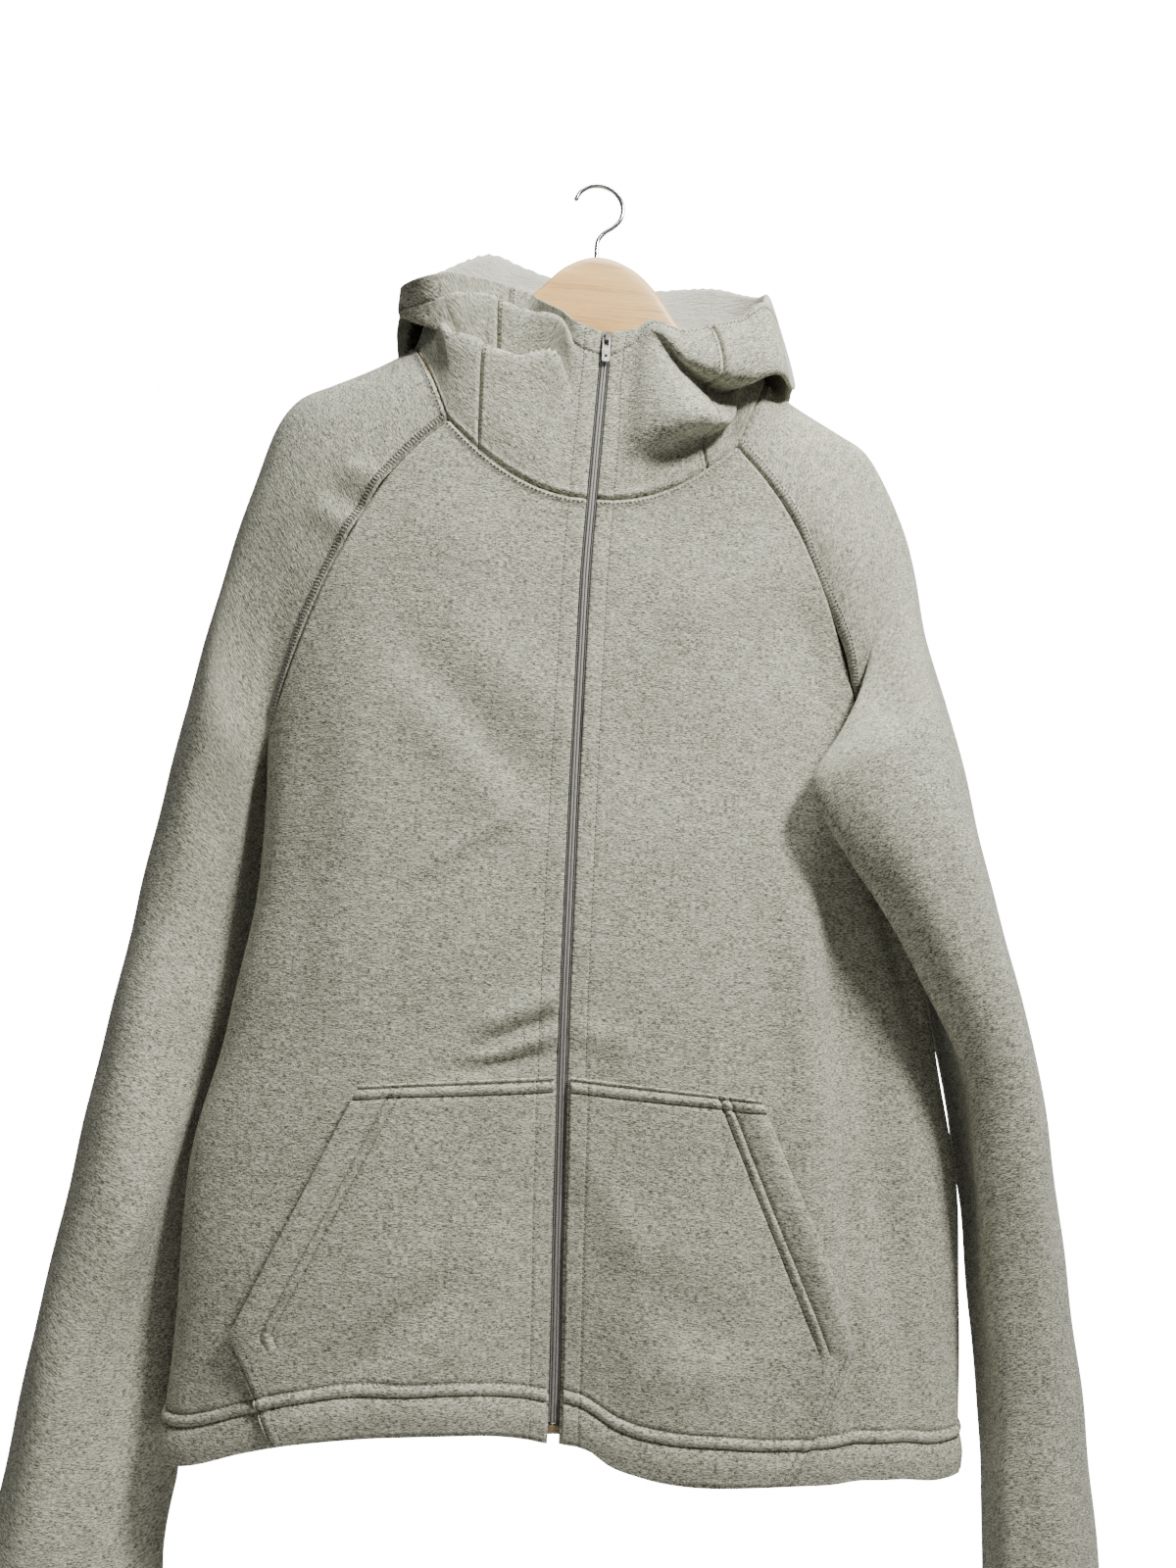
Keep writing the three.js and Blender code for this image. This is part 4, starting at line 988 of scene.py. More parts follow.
def ripple(panel, size, height):
    """Low soft waves, from three crossed sines, so that no stretch of cloth is quite flat."""
    x, y, z = (panel.points[..., k] / size for k in range(3))
    waves = np.sin(1.7 * x + 0.9 * z + 1.3) + np.sin(0.8 * x - 1.5 * z + 2.1 * y) + np.sin(2.3 * z + 1.1 * y)
    panel.relief += height * waves / 3


def pucker(panel, edge, centre, width, height, pitch):
    """Small even gathers beside a line of stitching, uneven in strength."""
    run = panel.top if edge in ("start", "end") else panel.start
    wave = np.sin(2 * pi * run / pitch) * (0.65 + 0.35 * np.sin(2 * pi * run / (pitch * 5.3) + 1))
    panel.relief += height * wave * bell(panel.distance(edge), centre, width)


def stitch_groove(panel, edge, distance, depth=0.55, width=0.75):
    panel.band(edge, distance, width, -depth)


def sewn_edge(panel, edge, ridge):
    """Beside a seam the cloth turns down into it, with the allowance swelling beside it."""
    panel.band(edge, 0, 1.6, -1.5)
    panel.band(edge, 3.6, 2.0, ridge)


def square_zip_edge(panel):
    """The zip's edge leans neither way, so that the gap to the chain is even."""
    share = np.exp(-panel.start / 4)[..., None] * np.array([1, 0, 0])
    panel.normals = panel.normals * (1 - share)
    panel.normals /= np.linalg.norm(panel.normals, axis=2, keepdims=True)


def front_panel(side, sizes):
    base = front_surface(side, spread(221), dense_rows())
    base = respaced(base, ZIP_NEAR, SEAM_NEAR, sizes.step)
    base = respaced(base.transpose(1, 0, 2), SEAM_NEAR, HEM_NEAR, sizes.step).transpose(1, 0, 2)
    panel = Panel(base, side, sizes.wall)
    square_zip_edge(panel)
    panel.uv = np.stack([side * panel.start, panel.points[..., 2]], axis=-1)
    hem_relief(panel)
    sewn_edge(panel, "end", 0.35)
    sewn_edge(panel, "top", 0.9)
    stitch_groove(panel, "start", 12, 0.35)
    panel.band("start", 5, 3.5, 0.5)
    apply_folds(panel, FRONT_FOLDS, -1, sizes.folds)
    ripple(panel, 34, 0.9)
    return panel


def hem_relief(panel):
    """A turned hem: a soft puffed band below two sunk rows of stitching."""
    panel.relief += 1.4 * smoothstep(33, 28, panel.bottom)
    panel.band("bottom", 11, 7, 1.3)
    panel.band("bottom", 26, 2.0, 0.7)
    stitch_groove(panel, "bottom", 22.2, 1.9, 1.15)
    stitch_groove(panel, "bottom", 29.8, 1.7, 1.15)
    pucker(panel, "bottom", 17, 6, 0.35, 11)


def back_panel(sizes):
    base = back_surface(spread(181), dense_rows())
    base = respaced(base, SEAM_NEAR, SEAM_NEAR, sizes.step)
    base = respaced(base.transpose(1, 0, 2), SEAM_NEAR, HEM_NEAR, sizes.step).transpose(1, 0, 2)
    panel = Panel(base, -1, sizes.wall)
    middle = panel.start.shape[1] // 2
    panel.uv = np.stack([panel.start - panel.start[:, middle:middle + 1], panel.points[..., 2]], axis=-1)
    hem_relief(panel)
    for edge in ("start", "end"):
        sewn_edge(panel, edge, 0.35)
    sewn_edge(panel, "top", 0.9)
    apply_folds(panel, BACK_FOLDS, 1, sizes.folds)
    ripple(panel, 40, 1.1)
    return panel


def soft_bend(points, t):
    """Rows near the underarm (t 1) are averaged along the sleeve, least at its two seams, so that the
    cloth bends there instead of creasing."""
    w = spread(points.shape[1])
    share = smoothstep(0.02, 0.2, w) * smoothstep(0.98, 0.8, w)
    weight = bell(t, 1.0, 0.16)[:, None] * share[None]
    soft = points
    for _ in range(BEND_ROUNDS):
        padded = np.pad(soft, ((2, 2), (0, 0), (0, 0)), mode="edge")
        mean = (padded[:-4] + padded[1:-3] + padded[2:-2] + padded[3:-1] + padded[4:]) / 5
        soft = mix(soft, mean, weight[..., None])
    return soft


def sleeve_cloth(side, points):
    """The cloth's own coordinates on a sleeve: across, the arc length from the crest; along, the mean
    length of the rows down to each row, so that the marl stays straight where the arm bends."""
    rows, columns = points.shape[:2]
    crest = int(round((columns - 1) * 4 / 7))
    start, _ = edge_distances(points)
    across = side * (start - start[:, crest:crest + 1])
    gaps = np.linalg.norm(np.diff(points, axis=0), axis=2)
    down = np.concatenate([np.zeros((1, columns)), np.cumsum(gaps, axis=0)])
    along = -(0.7 * down.mean(axis=1, keepdims=True) + 0.3 * down)
    return np.stack([across, along + 0 * across], axis=-1)


def sleeve_panel(side, sizes):
    t = np.concatenate([np.linspace(0, 1, 161)[:-1], np.linspace(1, 2, 221)])
    base = soft_bend(sleeve_surface(side, spread(281), t), t)
    base = np.concatenate([base, sleeve_cloth(side, base)], axis=2)
    base = respaced(base, SEAM_NEAR, SEAM_NEAR, sizes.step)
    base = respaced(base.transpose(1, 0, 2), SEAM_NEAR, HEM_NEAR, sizes.step).transpose(1, 0, 2)
    panel = Panel(base[..., :3], side, sizes.wall)
    panel.uv = base[..., 3:]
    panel.relief += 1.2 * smoothstep(25, 21, panel.bottom)
    panel.band("bottom", 11, 8, 0.9)
    stitch_groove(panel, "bottom", 22.2, 1.5, 1.1)
    for edge in ("start", "end"):
        sewn_edge(panel, edge, 0.35)
        panel.relief += 0.35 * smoothstep(8, 6.5, panel.distance(edge))
    sewn_edge(panel, "top", 0.9)
    apply_folds(panel, SLEEVE_FRONT_FOLDS, -1, sizes.folds)
    apply_folds(panel, SLEEVE_BACK_FOLDS, 1, sizes.folds)
    ripple(panel, 30, 0.9)
    open_thumb(panel)
    return panel


THUMB_LENGTH = 62
THUMB_FROM_CUFF = 34
THUMB_HALF_WIDTH = 4


def open_thumb(panel):
    """The seam parts above the cuff and both edges draw back in a pointed opening."""
    place = np.clip((panel.bottom - THUMB_FROM_CUFF) / THUMB_LENGTH, 0, 1)
    gape = THUMB_HALF_WIDTH * np.sin(pi * place)
    for edge, inward in (("start", 1), ("end", -1)):
        near = np.exp(-panel.distance(edge) / 14)
        tangent = np.gradient(panel.points, axis=1)
        tangent /= np.maximum(np.linalg.norm(tangent, axis=2, keepdims=True), 1e-9)
        panel.points = panel.points + tangent * (inward * gape * near)[..., None]


def hood_panels(side, sizes):
    """The collar front and the hood side: one folded surface, split at the collar's side seam."""
    seam, u, split = neck_line(side, 361)
    base = hood_surface(side, seam, u, spread(241))
    cut = int(round(split * (len(u) - 1)))
    pieces = []
    for part, near, far in ((base[:, : cut + 1], ZIP_NEAR, SEAM_NEAR), (base[:, cut:], SEAM_NEAR, SEAM_NEAR)):
        part = respaced(part, near, far, sizes.step)
        part = respaced(part.transpose(1, 0, 2), HOOD_EDGE_NEAR, SEAM_NEAR, sizes.step).transpose(1, 0, 2)
        pieces.append(Panel(part, side, sizes.wall))
    collar, hood = pieces
    square_zip_edge(collar)
    for panel in pieces:
        panel.uv = np.stack([side * panel.start, panel.bottom], axis=-1)
        sewn_edge(panel, "bottom", 0.6)
        stitch_groove(panel, "top", 18, 0.6, 0.9)
        panel.relief += 0.5 * smoothstep(19, 16, panel.top)
        ripple(panel, 26, 0.7)
    stitch_groove(collar, "start", 12, 0.5)
    collar.band("start", 5, 3.5, 0.5)
    sewn_edge(collar, "end", 0.2)
    sewn_edge(hood, "start", 0.2)
    sewn_edge(hood, "end", 0.6)
    return collar, hood


HOOD_EDGE_NEAR = (0, 0.15, 0.5, 1.0, 1.8, 3.2, 5.5, 9.0, 13.0, 15.5, 16.8, 17.5, 18.0, 18.5, 19.3, 21.0, 24.0)

POCKET_TOP_Z = -672
POCKET_TOP_X = 124
POCKET_CORNER_X = 196
POCKET_CORNER_Z = -836
POCKET_FOOT_X = 158
POCKET_FOOT_Z = -905
POCKET_LIFT = 3.6


def pocket_reach(z):
    """How far a pocket reaches from the middle: out to its corner, then in to its foot."""
    upper = mix(POCKET_TOP_X, POCKET_CORNER_X, (z - POCKET_TOP_Z) / (POCKET_CORNER_Z - POCKET_TOP_Z))
    lower = mix(POCKET_CORNER_X, POCKET_FOOT_X, (z - POCKET_CORNER_Z) / (POCKET_FOOT_Z - POCKET_CORNER_Z))
    return np.where(z >= POCKET_CORNER_Z, upper, lower)


def pocket_panel(side, sizes):
    """A pocket laid on the front: the front's own surface under the pocket's outline, moved out."""
    s, v = spread(161)[None, :], spread(201)[:, None]
    top = mix(POCKET_TOP_Z + 2, POCKET_TOP_Z - 8, s)
    foot_x = mix(0, POCKET_FOOT_X, s)
    foot = hem_z(side * foot_x) + 4
    z = mix(top, foot, v)
    middle = zip_x(z) + side * (ZIP_HALF_GAP + 1.6)
    x = mix(middle, side * pocket_reach(z), s)
    base = body_point(side, angle_at(side, np.abs(x), z, True), z)
    base[..., 0] = x
    base = respaced(base, ZIP_NEAR, POCKET_SIDE_NEAR, sizes.step)
    base = respaced(base.transpose(1, 0, 2), POCKET_TOP_NEAR, HEM_NEAR, sizes.step).transpose(1, 0, 2)
    panel = Panel(base, side, sizes.wall)
    square_zip_edge(panel)
    panel.uv = np.stack([side * panel.start + 37, panel.points[..., 2] + 11], axis=-1)
    panel.relief += POCKET_LIFT
    above_corner = smoothstep(POCKET_CORNER_Z - 30, POCKET_CORNER_Z + 10, panel.points[..., 2])
    panel.relief += 3.4 * smoothstep(34, 3, panel.end) * above_corner
    return panel


def pocket_relief(panel, sizes):
    """Rolled edges, a band inside two sunk rows of stitching, and the hem that the pocket runs into."""
    slanted = smoothstep(POCKET_CORNER_Z - 4, POCKET_CORNER_Z + 4, panel.points[..., 2])
    hem_relief(panel)
    stitch_groove(panel, "start", 12, 0.8)
    panel.band("top", 2.8, 0.9, -1.4)
    panel.band("top", 6.2, 2.4, 1.0)
    panel.band("top", 9.9, 0.9, -1.5)
    for distance in (21.1, 27.8):
        panel.relief -= 1.6 * slanted * bell(panel.end, distance, 1.0)
    panel.relief += slanted * (1.2 * bell(panel.end, 24.4, 2.0) + 2.6 * bell(panel.end, 8, 8))
    pucker_field = np.sin(2 * pi * panel.top / 5.2) * bell(panel.end, 24.4, 2.4)
    panel.relief += 0.4 * slanted * pucker_field
    for distance in (1.8, 9.0):
        panel.relief -= 1.4 * (1 - slanted) * bell(panel.end, distance, 0.9)
    panel.relief += 1.0 * (1 - slanted) * bell(panel.end, 5.4, 2.2)
    apply_folds(panel, FRONT_FOLDS, -1, sizes.folds)
    ripple(panel, 34, 0.9)


def panel_area(panel):
    """The area of a panel's middle sheet in square metres, and its widest and longest lines."""
    across = np.diff(panel.points, axis=1)[:-1]
    down = np.diff(panel.points, axis=0)[:, :-1]
    area = np.linalg.norm(np.cross(across, down), axis=2).sum() * MM * MM
    width = (panel.start + panel.end)[:, 0].max() * MM
    length = (panel.top + panel.bottom)[0].max() * MM
    return area, width, length


def cloth(name, panel, sizes, runs):
    looks = [sizes.outside, sizes.inside]
    obj = carry(shell(name + "_cloth", panel, looks), "fleece", name)
    if runs:
        carry(stitches(name + "_stitching", runs, sizes.thread), "fleece")
    area, width, length = panel_area(panel)
    rect = max(width * length, area)
    rect / width
    return obj


class Sizes:
    """The settings that the cloth pieces share while they are built."""

    def __init__(self, settings):
        self.wall = settings.wall
        self.step = settings.step
        self.folds = settings.folds
        self.stitch = settings.stitch
        self.outside = fleece_look(
            "marl_fleece", (0.095, 0.095, 0.070), (0.335, 0.335, 0.255), (0.580, 0.580, 0.470), settings.marl, 1.0
        )
        self.inside = fleece_look(
            "brushed_inside", (0.25, 0.248, 0.200), (0.430, 0.428, 0.360), (0.580, 0.578, 0.510), 0.6, 1.5
        )
        self.thread = thread_look()

    def run(self, line, across=False, pitch=None, length=None, thick=0.75):
        """One run of stitching along a line of points and normals."""
        path, normals = line
        step = pitch or self.stitch
        return (path, normals, step, length or step * 0.72, thick, across)


def ladder(panel, edge, sizes, start, stop):
    """Flat seaming beside a seam: two rows with rungs between them."""
    return [
        sizes.run(panel.line(edge, 1.7, start, stop)),
        sizes.run(panel.line(edge, 6.6, start, stop)),
        sizes.run(panel.line(edge, 4.1, start, stop), True, 2.4, 4.6, 0.6),
    ]


def build_fronts(settings):
    sizes = Sizes(settings)
    for side, tag in SIDES:
        panel = front_panel(side, sizes)
        runs = [
            sizes.run(panel.line("start", 12)),
            sizes.run(panel.line("top", 3.4, 0.02)),
            sizes.run(panel.line("bottom", 22.2)),
            sizes.run(panel.line("bottom", 29.8)),
        ]
        cloth("front_" + tag, panel, sizes, runs)
        pocket = pocket_panel(side, sizes)
        pocket_relief(pocket, sizes)
        corner = float(np.interp(-POCKET_CORNER_Z, -pocket.points[:, -1, 2], spread(len(pocket.points))))
        runs = [
            sizes.run(pocket.line("start", 12, 0.08)),
            sizes.run(pocket.line("top", 2.8)),
            sizes.run(pocket.line("top", 9.9)),
            sizes.run(pocket.line("end", 21.1, 0.06, corner)),
            sizes.run(pocket.line("end", 27.8, 0.06, corner)),
            sizes.run(pocket.line("end", 1.8, corner, 1)),
            sizes.run(pocket.line("end", 9.0, corner, 1)),
            sizes.run(pocket.line("bottom", 22.2)),
            sizes.run(pocket.line("bottom", 29.8)),
        ]
        cloth("pocket_" + tag, pocket, sizes, runs)


def build_back(settings):
    sizes = Sizes(settings)
    panel = back_panel(sizes)
    runs = [
        sizes.run(panel.line("top", 3.4)),
        sizes.run(panel.line("bottom", 22.2)),
        sizes.run(panel.line("bottom", 29.8)),
    ]
    cloth("back", panel, sizes, runs)


def build_sleeves(settings):
    sizes = Sizes(settings)
    for side, tag in SIDES:
        panel = sleeve_panel(side, sizes)
        underarm = float((panel.top[:, 0] < underarm_length(side)).mean())
        runs = [
            *ladder(panel, "start", sizes, 0.0, underarm),
            *ladder(panel, "end", sizes, 0.0, underarm),
            sizes.run(panel.line("top", 3.4)),
            sizes.run(panel.line("bottom", 22.2)),
        ]
        cloth("sleeve_" + tag, panel, sizes, runs)


def underarm_length(side):
    """How far the front raglan seam runs from the neck to the underarm."""
    line = sleeve_surface(side, np.zeros(1), spread(200))[:, 0]
    return float(np.linalg.norm(np.diff(line, axis=0), axis=1).sum())


def build_hood(settings):
    sizes = Sizes(settings)
    for side, tag in SIDES:
        collar, hood = hood_panels(side, sizes)
        for name, panel in (("collar_", collar), ("hood_", hood)):
            runs = [sizes.run(panel.line("top", 18))]
            if name == "collar_":
                runs.append(sizes.run(panel.line("start", 12)))
            runs.append(sizes.run(panel.line("end", 3.0)))
            cloth(name + tag, panel, sizes, runs)


# Zip


def zip_path():
    """The line of the closed zip from the top of the collar to the hem, midway between the two edges."""
    lines = []
    for side, _ in SIDES:
        seam, u, _ = neck_line(side, 2)
        collar = hood_surface(side, seam, u, spread(60))[:, 0]
        front = front_surface(side, np.zeros(1), np.linspace(0, 2, 200))[:, 0]
        line = np.concatenate([collar, front[1:]])
        z = np.linspace(-155, -893, 900)
        lines.append(np.stack([np.interp(-z, -line[:, 2], line[:, k]) for k in range(3)], axis=1))
    return (lines[0] + lines[1]) / 2


def cut_path(path, top, bottom):
    return path[(path[:, 2] <= top) & (path[:, 2] >= bottom)]


RIDGE_PROFILE = ((0.08, 0.6), (0.16, -0.5), (0.55, -1.0), (1.1, -1.05), (1.6, -0.7), (1.95, -0.1), (1.9, 0.6))
ZIP_PITCH = 1.35


def strip(name, path, profile, side, material):
    """A long strip: a closed outline in x and y carried down the zip's line."""
    outline = np.array(profile, float)
    points = path[:, None] + point(side * outline[:, 0], outline[:, 1], 0)[None]
    count, around = points.shape[:2]
    index = np.arange(count * around).reshape(count, around)
    faces = [grid_faces(np.concatenate([index, index[:, :1]], axis=1), side > 0)]
    ends = np.stack([index[0], index[-1][::-1]])
    faces.append(ends if side > 0 else ends[:, ::-1])
    return new_mesh(name, points.reshape(-1, 3), faces, [material])


def build_zip(settings):
    path = zip_path()
    tape, coil = tape_look(), coil_look()
    chain = cut_path(path, -165.5, -886)
    forward = np.tile([0.0, -1.0, 0.0], (len(chain), 1))
    ribbon = cut_path(path, -156, -893)
    for side, tag in SIDES:
        ridge = strip("zip_ridge_" + tag, chain, RIDGE_PROFILE, side, coil)
        carry(ridge, "zip_coil")
        dots = chain + np.array([side * 2.75, -0.15, 0])
        run = (dots, forward, settings.pitch, settings.pitch * 0.8, 1.0, False)
        carry(stitches("zip_loops_" + tag, [run], coil), "zip_coil")
        tape_outline = ((0.2, 2.6), (1.5, 2.55), (9, 2.6), (14, 2.6), (14, 3.5), (9, 3.55), (1.5, 3.55), (0.2, 3.5))
        band = strip("zip_ribbon_" + tag, ribbon, tape_outline, side, tape)
        carry(band, "zip_tape", "zip_tape_" + tag)
    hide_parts("zip_chain")
    silver = metal_look("zip_silver", (0.42, 0.41, 0.39), (0.68, 0.67, 0.64), 0.36, 0.75)
    brass = metal_look("stop_brass", (0.20, 0.15, 0.08), (0.42, 0.33, 0.19), 0.45, 0.8)
    body = metal_look("slider_grey", (0.12, 0.11, 0.10), (0.26, 0.25, 0.23), 0.42, 0.7)
    for node, material in (("zip_slider", body), ("zip_pull", silver), ("zip_stop", brass)):
        set_look(node, material)


def set_look(node, material):
    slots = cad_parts[node].data.materials
    slots.clear()
    slots.append(material)


# Hanger

WOOD_HALF_LENGTH = 212
WOOD_HALF_DEPTH = 7
WOOD_TOP = Table("x z", [
    [-212, -209],
    [-196, -197],
    [-173, -184],
    [-132, -161],
    [-100, -142],
    [-66, -118],
    [-42, -92],
    [-24, -72],
    [0, -61],
    [26, -67],
    [46, -84],
    [66, -112],
    [100, -142],
    [132, -161],
    [173, -184],
    [196, -197],
    [212, -209],
])
WOOD_BOTTOM_Z = -128
WOOD_ARM_DROP = 100
HOOK_RADIUS = 19
WIRE_RADIUS = 1.7


def blunt(value):
    """The sine and cosine of a rounded rectangle."""
    return np.sign(value) * np.abs(value) ** 0.42


def build_hanger(_settings):
    """The wooden body as rings with softened corners along its length, and the wire hook."""
    x = WOOD_HALF_LENGTH * np.sin(np.linspace(-pi / 2, pi / 2, 260))
    top = WOOD_TOP.read("x", x, "z")
    bottom = WOOD_BOTTOM_Z - WOOD_ARM_DROP * (np.abs(x) / WOOD_HALF_LENGTH) ** 1.3
    tip = np.sqrt(np.clip(1 - (np.abs(x) / WOOD_HALF_LENGTH) ** 40, 0, 1))
    middle, half = (top + bottom) / 2, (top - bottom) / 2 * np.maximum(tip, 0.02)
    turns = np.linspace(0, 2 * pi, 41)[:-1]
    y = WOOD_HALF_DEPTH * np.maximum(tip, 0.02)[:, None] * blunt(np.cos(turns))[None]
    z = middle[:, None] + half[:, None] * blunt(np.sin(turns))[None]
    points = point(x[:, None], y, z)
    index = np.arange(points.shape[0] * points.shape[1]).reshape(points.shape[:2])
    faces = [grid_faces(np.concatenate([index, index[:, :1]], axis=1), True)]
    faces += [index[:1], index[-1:, ::-1]]
    wood = new_mesh("hanger_body", points.reshape(-1, 3), faces, [wood_look()])
    carry(wood, "wood", "hanger_wood")
    centre = WIRE_RADIUS - HOOK_RADIUS
    turn = np.radians(np.linspace(-50, 192, 90))
    ring = point(HOOK_RADIUS * np.cos(turn), 0, centre + HOOK_RADIUS * np.sin(turn))
    stem = np.array([[0, 0, -66.0], [0, 0, -56.0], [0, 0, -49.0], [1.0, 0, -44.0], [5.5, 0, -37.5]])
    knots = np.concatenate([stem, ring[::10]])
    path = catmull(knots[None], spread(400))[0]
    around = np.linspace(0, 2 * pi, 17)[:-1]
    side, up = line_frames(path, np.array([0, 1.0, 0]))
    lengths = np.concatenate([[0], np.cumsum(np.linalg.norm(np.diff(path, axis=0), axis=1))])
    left = np.clip((lengths[-1] - lengths) / WIRE_RADIUS, 0.03, 1)
    radius = WIRE_RADIUS * np.sqrt(1 - (1 - left) ** 2)
    profile = np.stack([np.cos(around), np.sin(around)], axis=1)[None] * radius[:, None, None]
    points, faces = swept(path, side, up, profile)
    chrome = metal_look("hook_chrome", (0.55, 0.55, 0.56), (0.85, 0.85, 0.86), 0.16, 1.0)
    hook = new_mesh("hanger_wire", points, faces, [chrome])
    carry(hook, "hook_metal", "hanger_hook")


# Stage


CAMERA_PLACE = (-0.0744, -0.8300, -0.6024)
CAMERA_YAW = 6.0
CAMERA_PITCH = 9.0
CAMERA_ROLL = 2.7
FLOOR_Z = -1.60
FLOOR_HALF = 1300
BACKDROP_STRENGTH = 16


def camera_matrix():
    """The camera looks along its yaw and pitch, rolled about that line."""
    a, p, r = (radians(value) for value in (CAMERA_YAW, CAMERA_PITCH, CAMERA_ROLL))
    forward = Vector((sin(a) * cos(p), cos(a) * cos(p), sin(p)))
    level = Vector((cos(a), -sin(a), 0))
    upward = level.cross(forward)
    right = level * cos(r) + upward * sin(r)
    up = upward * cos(r) - level * sin(r)
    rows = Matrix((right, up, -forward)).transposed().to_4x4()
    rows.translation = Vector(CAMERA_PLACE)
    return rows


def area_light(name, place, target, size, power, colour=(1, 1, 1)):
    light = bpy.data.lights.new(name, "AREA")
    light.shape = "RECTANGLE"
    light.size, light.size_y = size
    light.energy = power
    light.color = colour
    obj = bpy.data.objects.new(name, light)
    obj.location = place
    obj.rotation_euler = (Vector(target) - Vector(place)).to_track_quat("-Z", "Y").to_euler()
    bpy.context.scene.collection.objects.link(obj)
    return obj


def build_stage(settings):
    scene = bpy.context.scene
    camera = bpy.data.cameras.new("camera")
    camera.lens = 27
    camera.sensor_width = 36
    camera.sensor_fit = "VERTICAL"
    camera.sensor_height = 36
    view = bpy.data.objects.new("camera", camera)
    view.matrix_world = camera_matrix()
    scene.collection.objects.link(view)
    scene.camera = view
    floor_look = Look("pale_floor")
    cloud = floor_look.noise(floor_look.object_place(0.8, 0.8, 0.8), 2.0, 0.5, flat=False)
    paint = floor_look.colours(cloud, [(0.3, (0.84, 0.84, 0.84)), (0.7, (0.88, 0.88, 0.88))])
    floor_look.finish(Base_Color=paint, Roughness=0.7)
    turn = np.linspace(0, 2 * pi, 97)[:-1]
    corners = point(FLOOR_HALF * np.cos(turn), FLOOR_HALF * np.sin(turn), FLOOR_Z / MM)
    floor = new_mesh("floor", corners, [np.arange(len(corners))[None]], [floor_look.material], smooth=False)
    world = bpy.data.worlds.new("studio")
    scene.world = world
    world.use_nodes = True
    nodes, links = world.node_tree.nodes, world.node_tree.links
    fill = nodes["Background"]
    fill.inputs["Color"].default_value = (1, 0.995, 0.97, 1)
    fill.inputs["Strength"].default_value = settings.fill
    backdrop = nodes.new("ShaderNodeBackground")
    backdrop.inputs["Color"].default_value = (1, 1, 1, 1)
    backdrop.inputs["Strength"].default_value = BACKDROP_STRENGTH
    seen = nodes.new("ShaderNodeLightPath")
    both = nodes.new("ShaderNodeMixShader")
    links.new(seen.outputs["Is Camera Ray"], both.inputs[0])
    links.new(fill.outputs[0], both.inputs[1])
    links.new(backdrop.outputs[0], both.inputs[2])
    links.new(both.outputs[0], nodes["World Output"].inputs["Surface"])
    area_light("key", (0.75, -0.95, 0.75), (0.0, 0, -0.62), (0.35, 0.3), settings.key, (1, 0.99, 0.96))
    area_light("top", (0.1, -0.45, 1.1), (0, 0, -0.5), (0.8, 0.5), settings.top)


# The add-on


class HOODIE_PG_cloth(bpy.types.PropertyGroup):
    wall: bpy.props.FloatProperty(name="Wall", description="Thickness of the cloth in millimetres", default=2.4, min=1)
    step: bpy.props.FloatProperty(name="Step", description="Space between grid lines in millimetres", default=4.4, min=2)
    folds: bpy.props.FloatProperty(
        name="Folds", description="Strength of the listed folds", default=1.0, min=0, subtype="FACTOR"
    )
    stitch: bpy.props.FloatProperty(name="Stitch", description="Length of one stitch in millimetres", default=3.0, min=1)
    marl: bpy.props.FloatProperty(
        name="Marl", description="Strength of the flecks", default=1.4, min=0, subtype="FACTOR"
    )


class HOODIE_PG_zip(bpy.types.PropertyGroup):
    pitch: bpy.props.FloatProperty(
        name="Pitch", description="Distance between coil loops in millimetres", default=1.35, min=0.5
    )


class HOODIE_PG_stage(bpy.types.PropertyGroup):
    fill: bpy.props.FloatProperty(
        name="Fill", description="Strength of the even light", default=0.13, min=0, subtype="FACTOR"
    )
    key: bpy.props.FloatProperty(
        name="Key", description="Power of the front light in watts", default=60.0, min=0, subtype="POWER", unit="POWER"
    )
    top: bpy.props.FloatProperty(
        name="Top", description="Power of the light above in watts", default=30.0, min=0, subtype="POWER", unit="POWER"
    )


class HOODIE_OT_fronts(bpy.types.Operator):
    """Build the two fronts and their pockets"""

    bl_idname = "hoodie.fronts"
    bl_label = "Fronts and pockets"

    def execute(self, context):
        build_fronts(context.scene.hoodie_cloth)
        return {"FINISHED"}


class HOODIE_OT_back(bpy.types.Operator):
    """Build the back"""

    bl_idname = "hoodie.back"
    bl_label = "Back"

    def execute(self, context):
        build_back(context.scene.hoodie_cloth)
        return {"FINISHED"}


class HOODIE_OT_sleeves(bpy.types.Operator):
    """Build the two raglan sleeves"""

    bl_idname = "hoodie.sleeves"
    bl_label = "Sleeves"

    def execute(self, context):
        build_sleeves(context.scene.hoodie_cloth)
        return {"FINISHED"}


class HOODIE_OT_hood(bpy.types.Operator):
    """Build the collar fronts and hood sides"""

    bl_idname = "hoodie.hood"
    bl_label = "Collar and hood"

    def execute(self, context):
        build_hood(context.scene.hoodie_cloth)
        return {"FINISHED"}


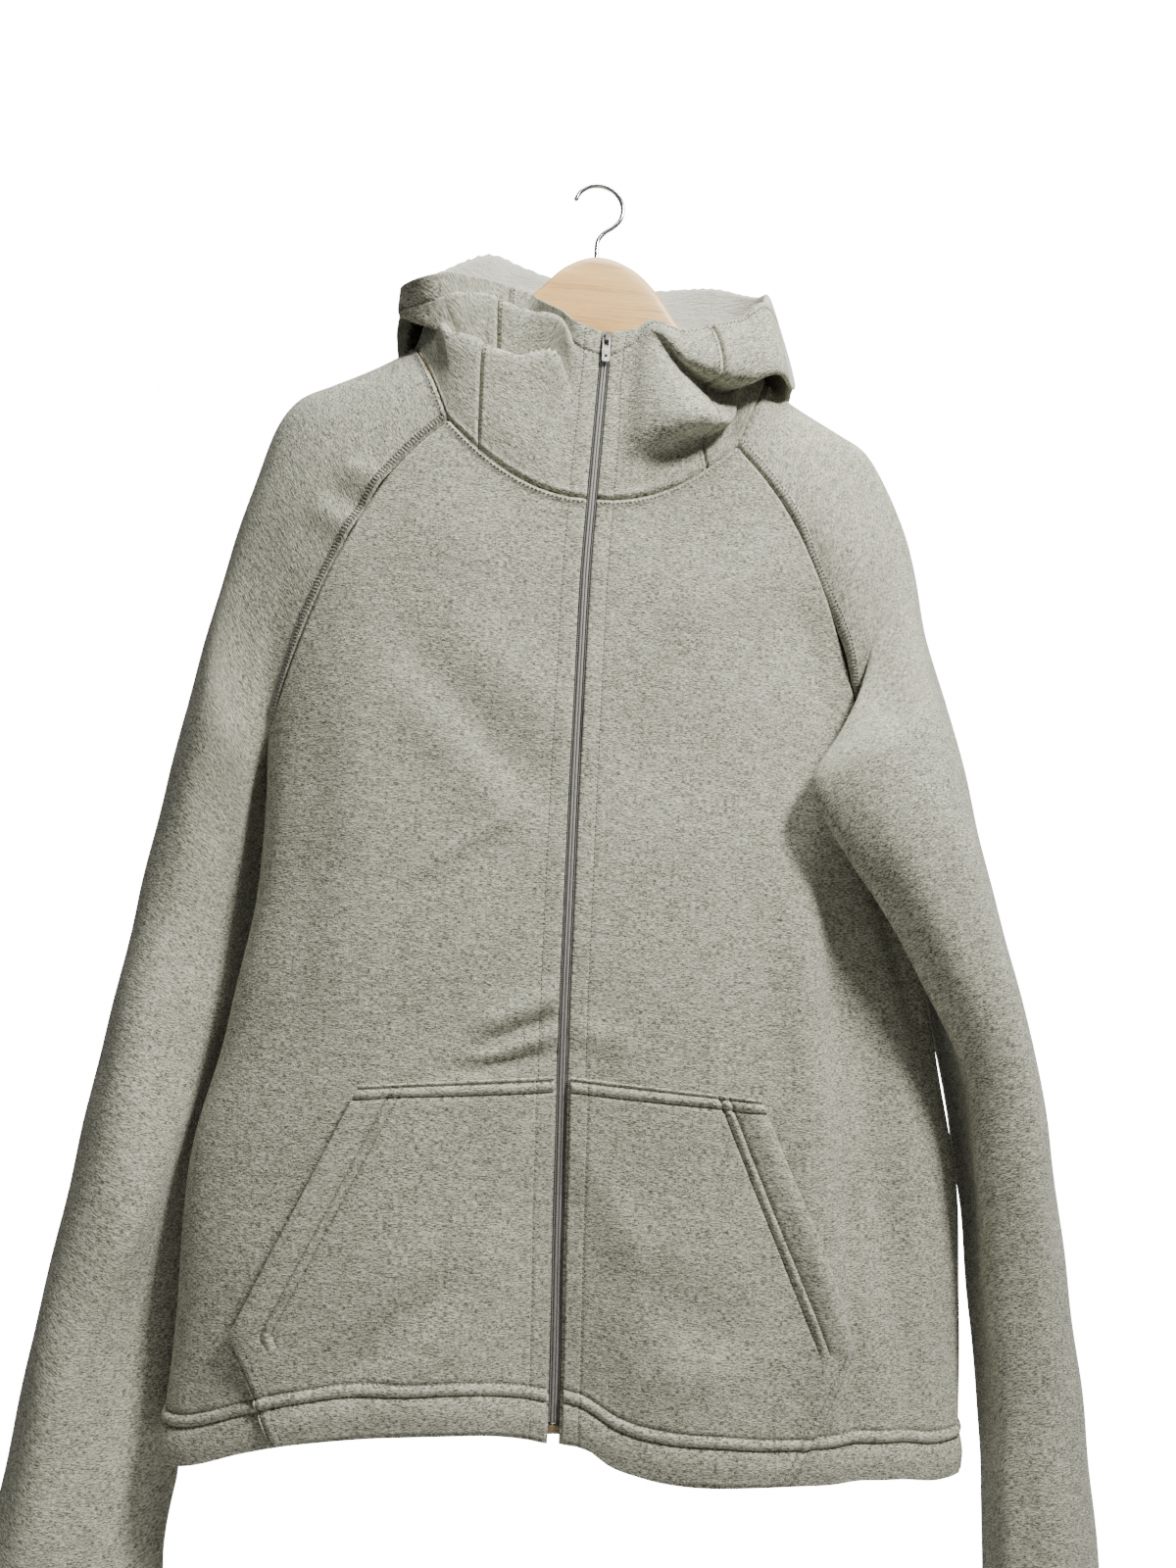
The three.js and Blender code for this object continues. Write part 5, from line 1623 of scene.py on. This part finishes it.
class HOODIE_OT_zip(bpy.types.Operator):
    """Build the zip's tapes and chain"""

    bl_idname = "hoodie.zip"
    bl_label = "Zip"

    def execute(self, context):
        build_zip(context.scene.hoodie_zip)
        return {"FINISHED"}


class HOODIE_OT_hanger(bpy.types.Operator):
    """Build the wooden body and the wire hook"""

    bl_idname = "hoodie.hanger"
    bl_label = "Hanger"

    def execute(self, context):
        build_hanger(context.scene.hoodie_cloth)
        return {"FINISHED"}


class HOODIE_OT_stage(bpy.types.Operator):
    """Build the floor, lights and camera"""

    bl_idname = "hoodie.stage"
    bl_label = "Stage"

    def execute(self, context):
        build_stage(context.scene.hoodie_stage)
        return {"FINISHED"}


OPERATORS = (
    HOODIE_OT_fronts,
    HOODIE_OT_back,
    HOODIE_OT_sleeves,
    HOODIE_OT_hood,
    HOODIE_OT_zip,
    HOODIE_OT_hanger,
    HOODIE_OT_stage,
)


class HOODIE_PT_panel(bpy.types.Panel):
    bl_label = "Zip hoodie"
    bl_idname = "HOODIE_PT_panel"
    bl_space_type = "VIEW_3D"
    bl_region_type = "UI"
    bl_category = "Hoodie"

    def draw(self, context):
        for group in ("hoodie_cloth", "hoodie_zip", "hoodie_stage"):
            settings = getattr(context.scene, group)
            for name in settings.__annotations__:
                self.layout.prop(settings, name)
        for operator in OPERATORS:
            self.layout.operator(operator.bl_idname)


CLASSES = (HOODIE_PG_cloth, HOODIE_PG_zip, HOODIE_PG_stage, *OPERATORS, HOODIE_PT_panel)


def register():
    for item in CLASSES:
        bpy.utils.register_class(item)
    bpy.types.Scene.hoodie_cloth = bpy.props.PointerProperty(type=HOODIE_PG_cloth)
    bpy.types.Scene.hoodie_zip = bpy.props.PointerProperty(type=HOODIE_PG_zip)
    bpy.types.Scene.hoodie_stage = bpy.props.PointerProperty(type=HOODIE_PG_stage)


def unregister():
    for name in ("hoodie_cloth", "hoodie_zip", "hoodie_stage"):
        delattr(bpy.types.Scene, name)
    for item in reversed(CLASSES):
        bpy.utils.unregister_class(item)


def main():
    register()
    for name in ("fronts", "back", "sleeves", "hood", "zip", "hanger", "stage"):
        getattr(bpy.ops.hoodie, name)()


if __name__ == "__main__":
    main()
